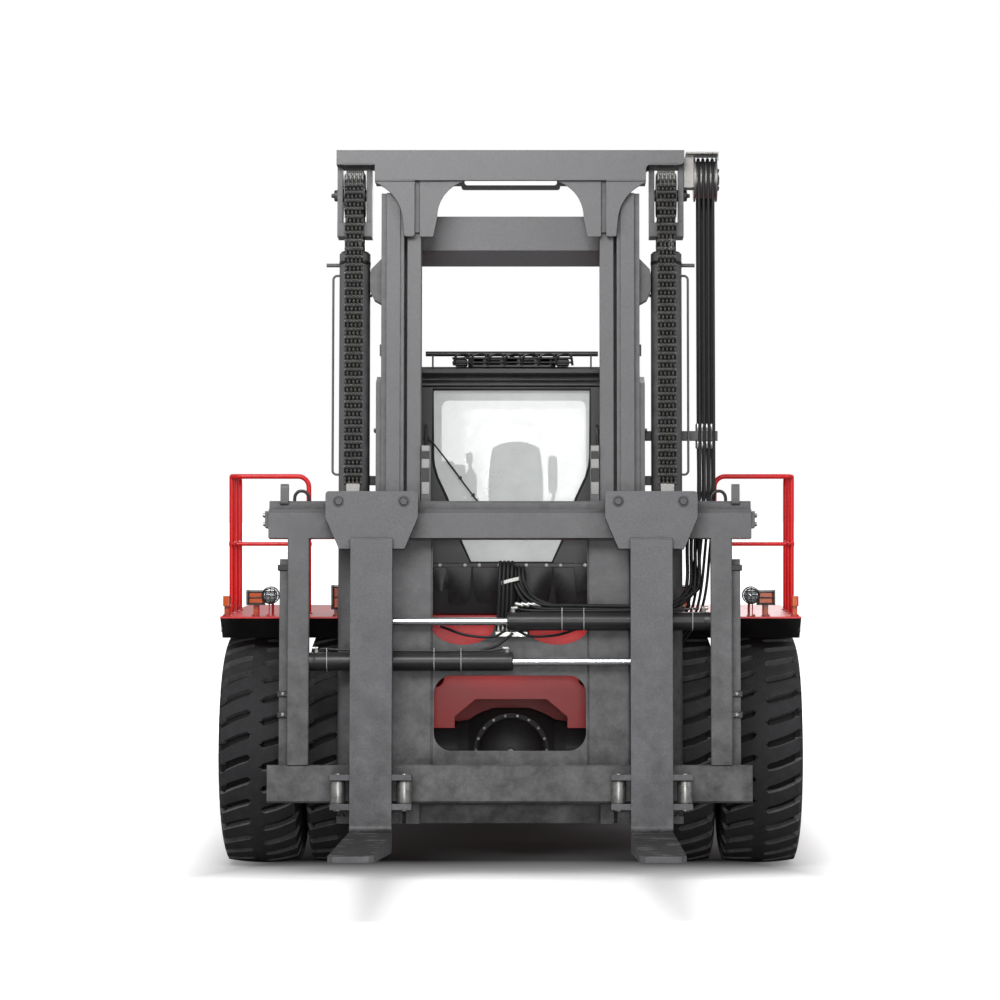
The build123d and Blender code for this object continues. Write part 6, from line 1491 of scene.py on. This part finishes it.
# dark floor colour the camera sees under the truck, a painted shadow
SHADOW_UNDER_TRUCK = (0.16, 0.16, 0.16, 1)
FLOOR_GLOW = 0.5
FLOOR_MIDDLE = 1.8
FLOOR_SPREAD = (2.2, 4.1)
SKY_STRENGTH = 0.4
LAMPS = (
    ("front_lamp", (-2.5, -10, 9), (7, 4), 900, (0, 0, 3)),
    ("low_lamp", (0.6, -21, 2.9), (3, 2), 520, (0, 0, 2)),
    ("side_lamp", (10, -7, 8), (5, 5), 300, (0, 0, 2)),
    ("back_lamp", (4, 16, 9), (12, 8), 900, (0, 3, 2)),
)


def seen_share(tree):
    """The socket that tells what the camera sees, also through glass."""
    path = add(tree, "ShaderNodeLightPath").outputs
    return math_node(tree, "MAXIMUM", path["Is Camera Ray"], path["Is Transmission Ray"])


def white_ground():
    """A pale floor that stays white behind the truck but keeps its shadow, with a dark painted shadow on the
    floor under the truck's footprint.
    """
    bpy.ops.mesh.primitive_grid_add(size=FLOOR_SIZE, x_subdivisions=8, y_subdivisions=8)
    floor = bpy.context.object
    floor.name = "floor"
    made, tree, shader = new_finish("pale_floor", Roughness=0.9, Specular_IOR_Level=0.1, Emission_Color=WHITE)
    seen = seen_share(tree)
    shaded = blend_colours(tree, noise(tree, 0.4), FLOOR_BOUNCE, tuple(1.1 * part for part in FLOOR_BOUNCE))
    place = add(tree, "ShaderNodeMapping", {"Vector": object_place(tree), "Location": (0, -FLOOR_MIDDLE, 0)})
    reaches = []
    for axis, spread in zip("XY", FLOOR_SPREAD):
        from_middle = math_node(tree, "ABSOLUTE", part_of(tree, place.outputs["Vector"], axis))
        reaches.append(math_node(tree, "DIVIDE", from_middle, spread))
    distance = math_node(tree, "MAXIMUM", *reaches)
    # the camera sees a dark painted shadow under the truck's footprint
    beside = remap(tree, distance, 0.72, 1.05)
    shows = blend_colours(tree, beside, SHADOW_UNDER_TRUCK, FLOOR_SHOWS)
    away = total(tree, product(tree, beside, FLOOR_GLOW), remap(tree, distance, 1.6, 3.0), clamp=True)
    put(tree, shader.inputs["Base Color"], blend_colours(tree, seen, shaded, shows))
    put(tree, shader.inputs["Emission Strength"], product(tree, seen, away))
    floor.data.materials.append(made)


def soft_light(name, place, size, power, aim):
    """A broad lamp that points at a place, both measured from the front axle."""
    data = bpy.data.lights.new(name, "AREA")
    data.shape = "RECTANGLE"
    data.size, data.size_y = size
    data.energy = power
    lamp = bpy.data.objects.new(name, data)
    lamp.location = TRUCK @ Vector(place)
    lamp.rotation_euler = (Vector(aim) - Vector(place)).to_track_quat("-Z", "Y").to_euler()
    bpy.context.scene.collection.objects.link(lamp)


def white_world():
    """An even pale sky whose background shows as white."""
    world = bpy.data.worlds.new("studio")
    bpy.context.scene.world = world
    world.use_nodes = True
    tree = world.node_tree
    background = tree.nodes["Background"]
    background.inputs["Color"].default_value = WHITE
    put(tree, background.inputs["Strength"], remap(tree, seen_share(tree), 0.0, 1.0, SKY_STRENGTH, 1.0))


white_ground()
white_world()
for lamp_row in LAMPS:
    soft_light(*lamp_row)

bpy.context.scene.view_settings.view_transform = "Standard"
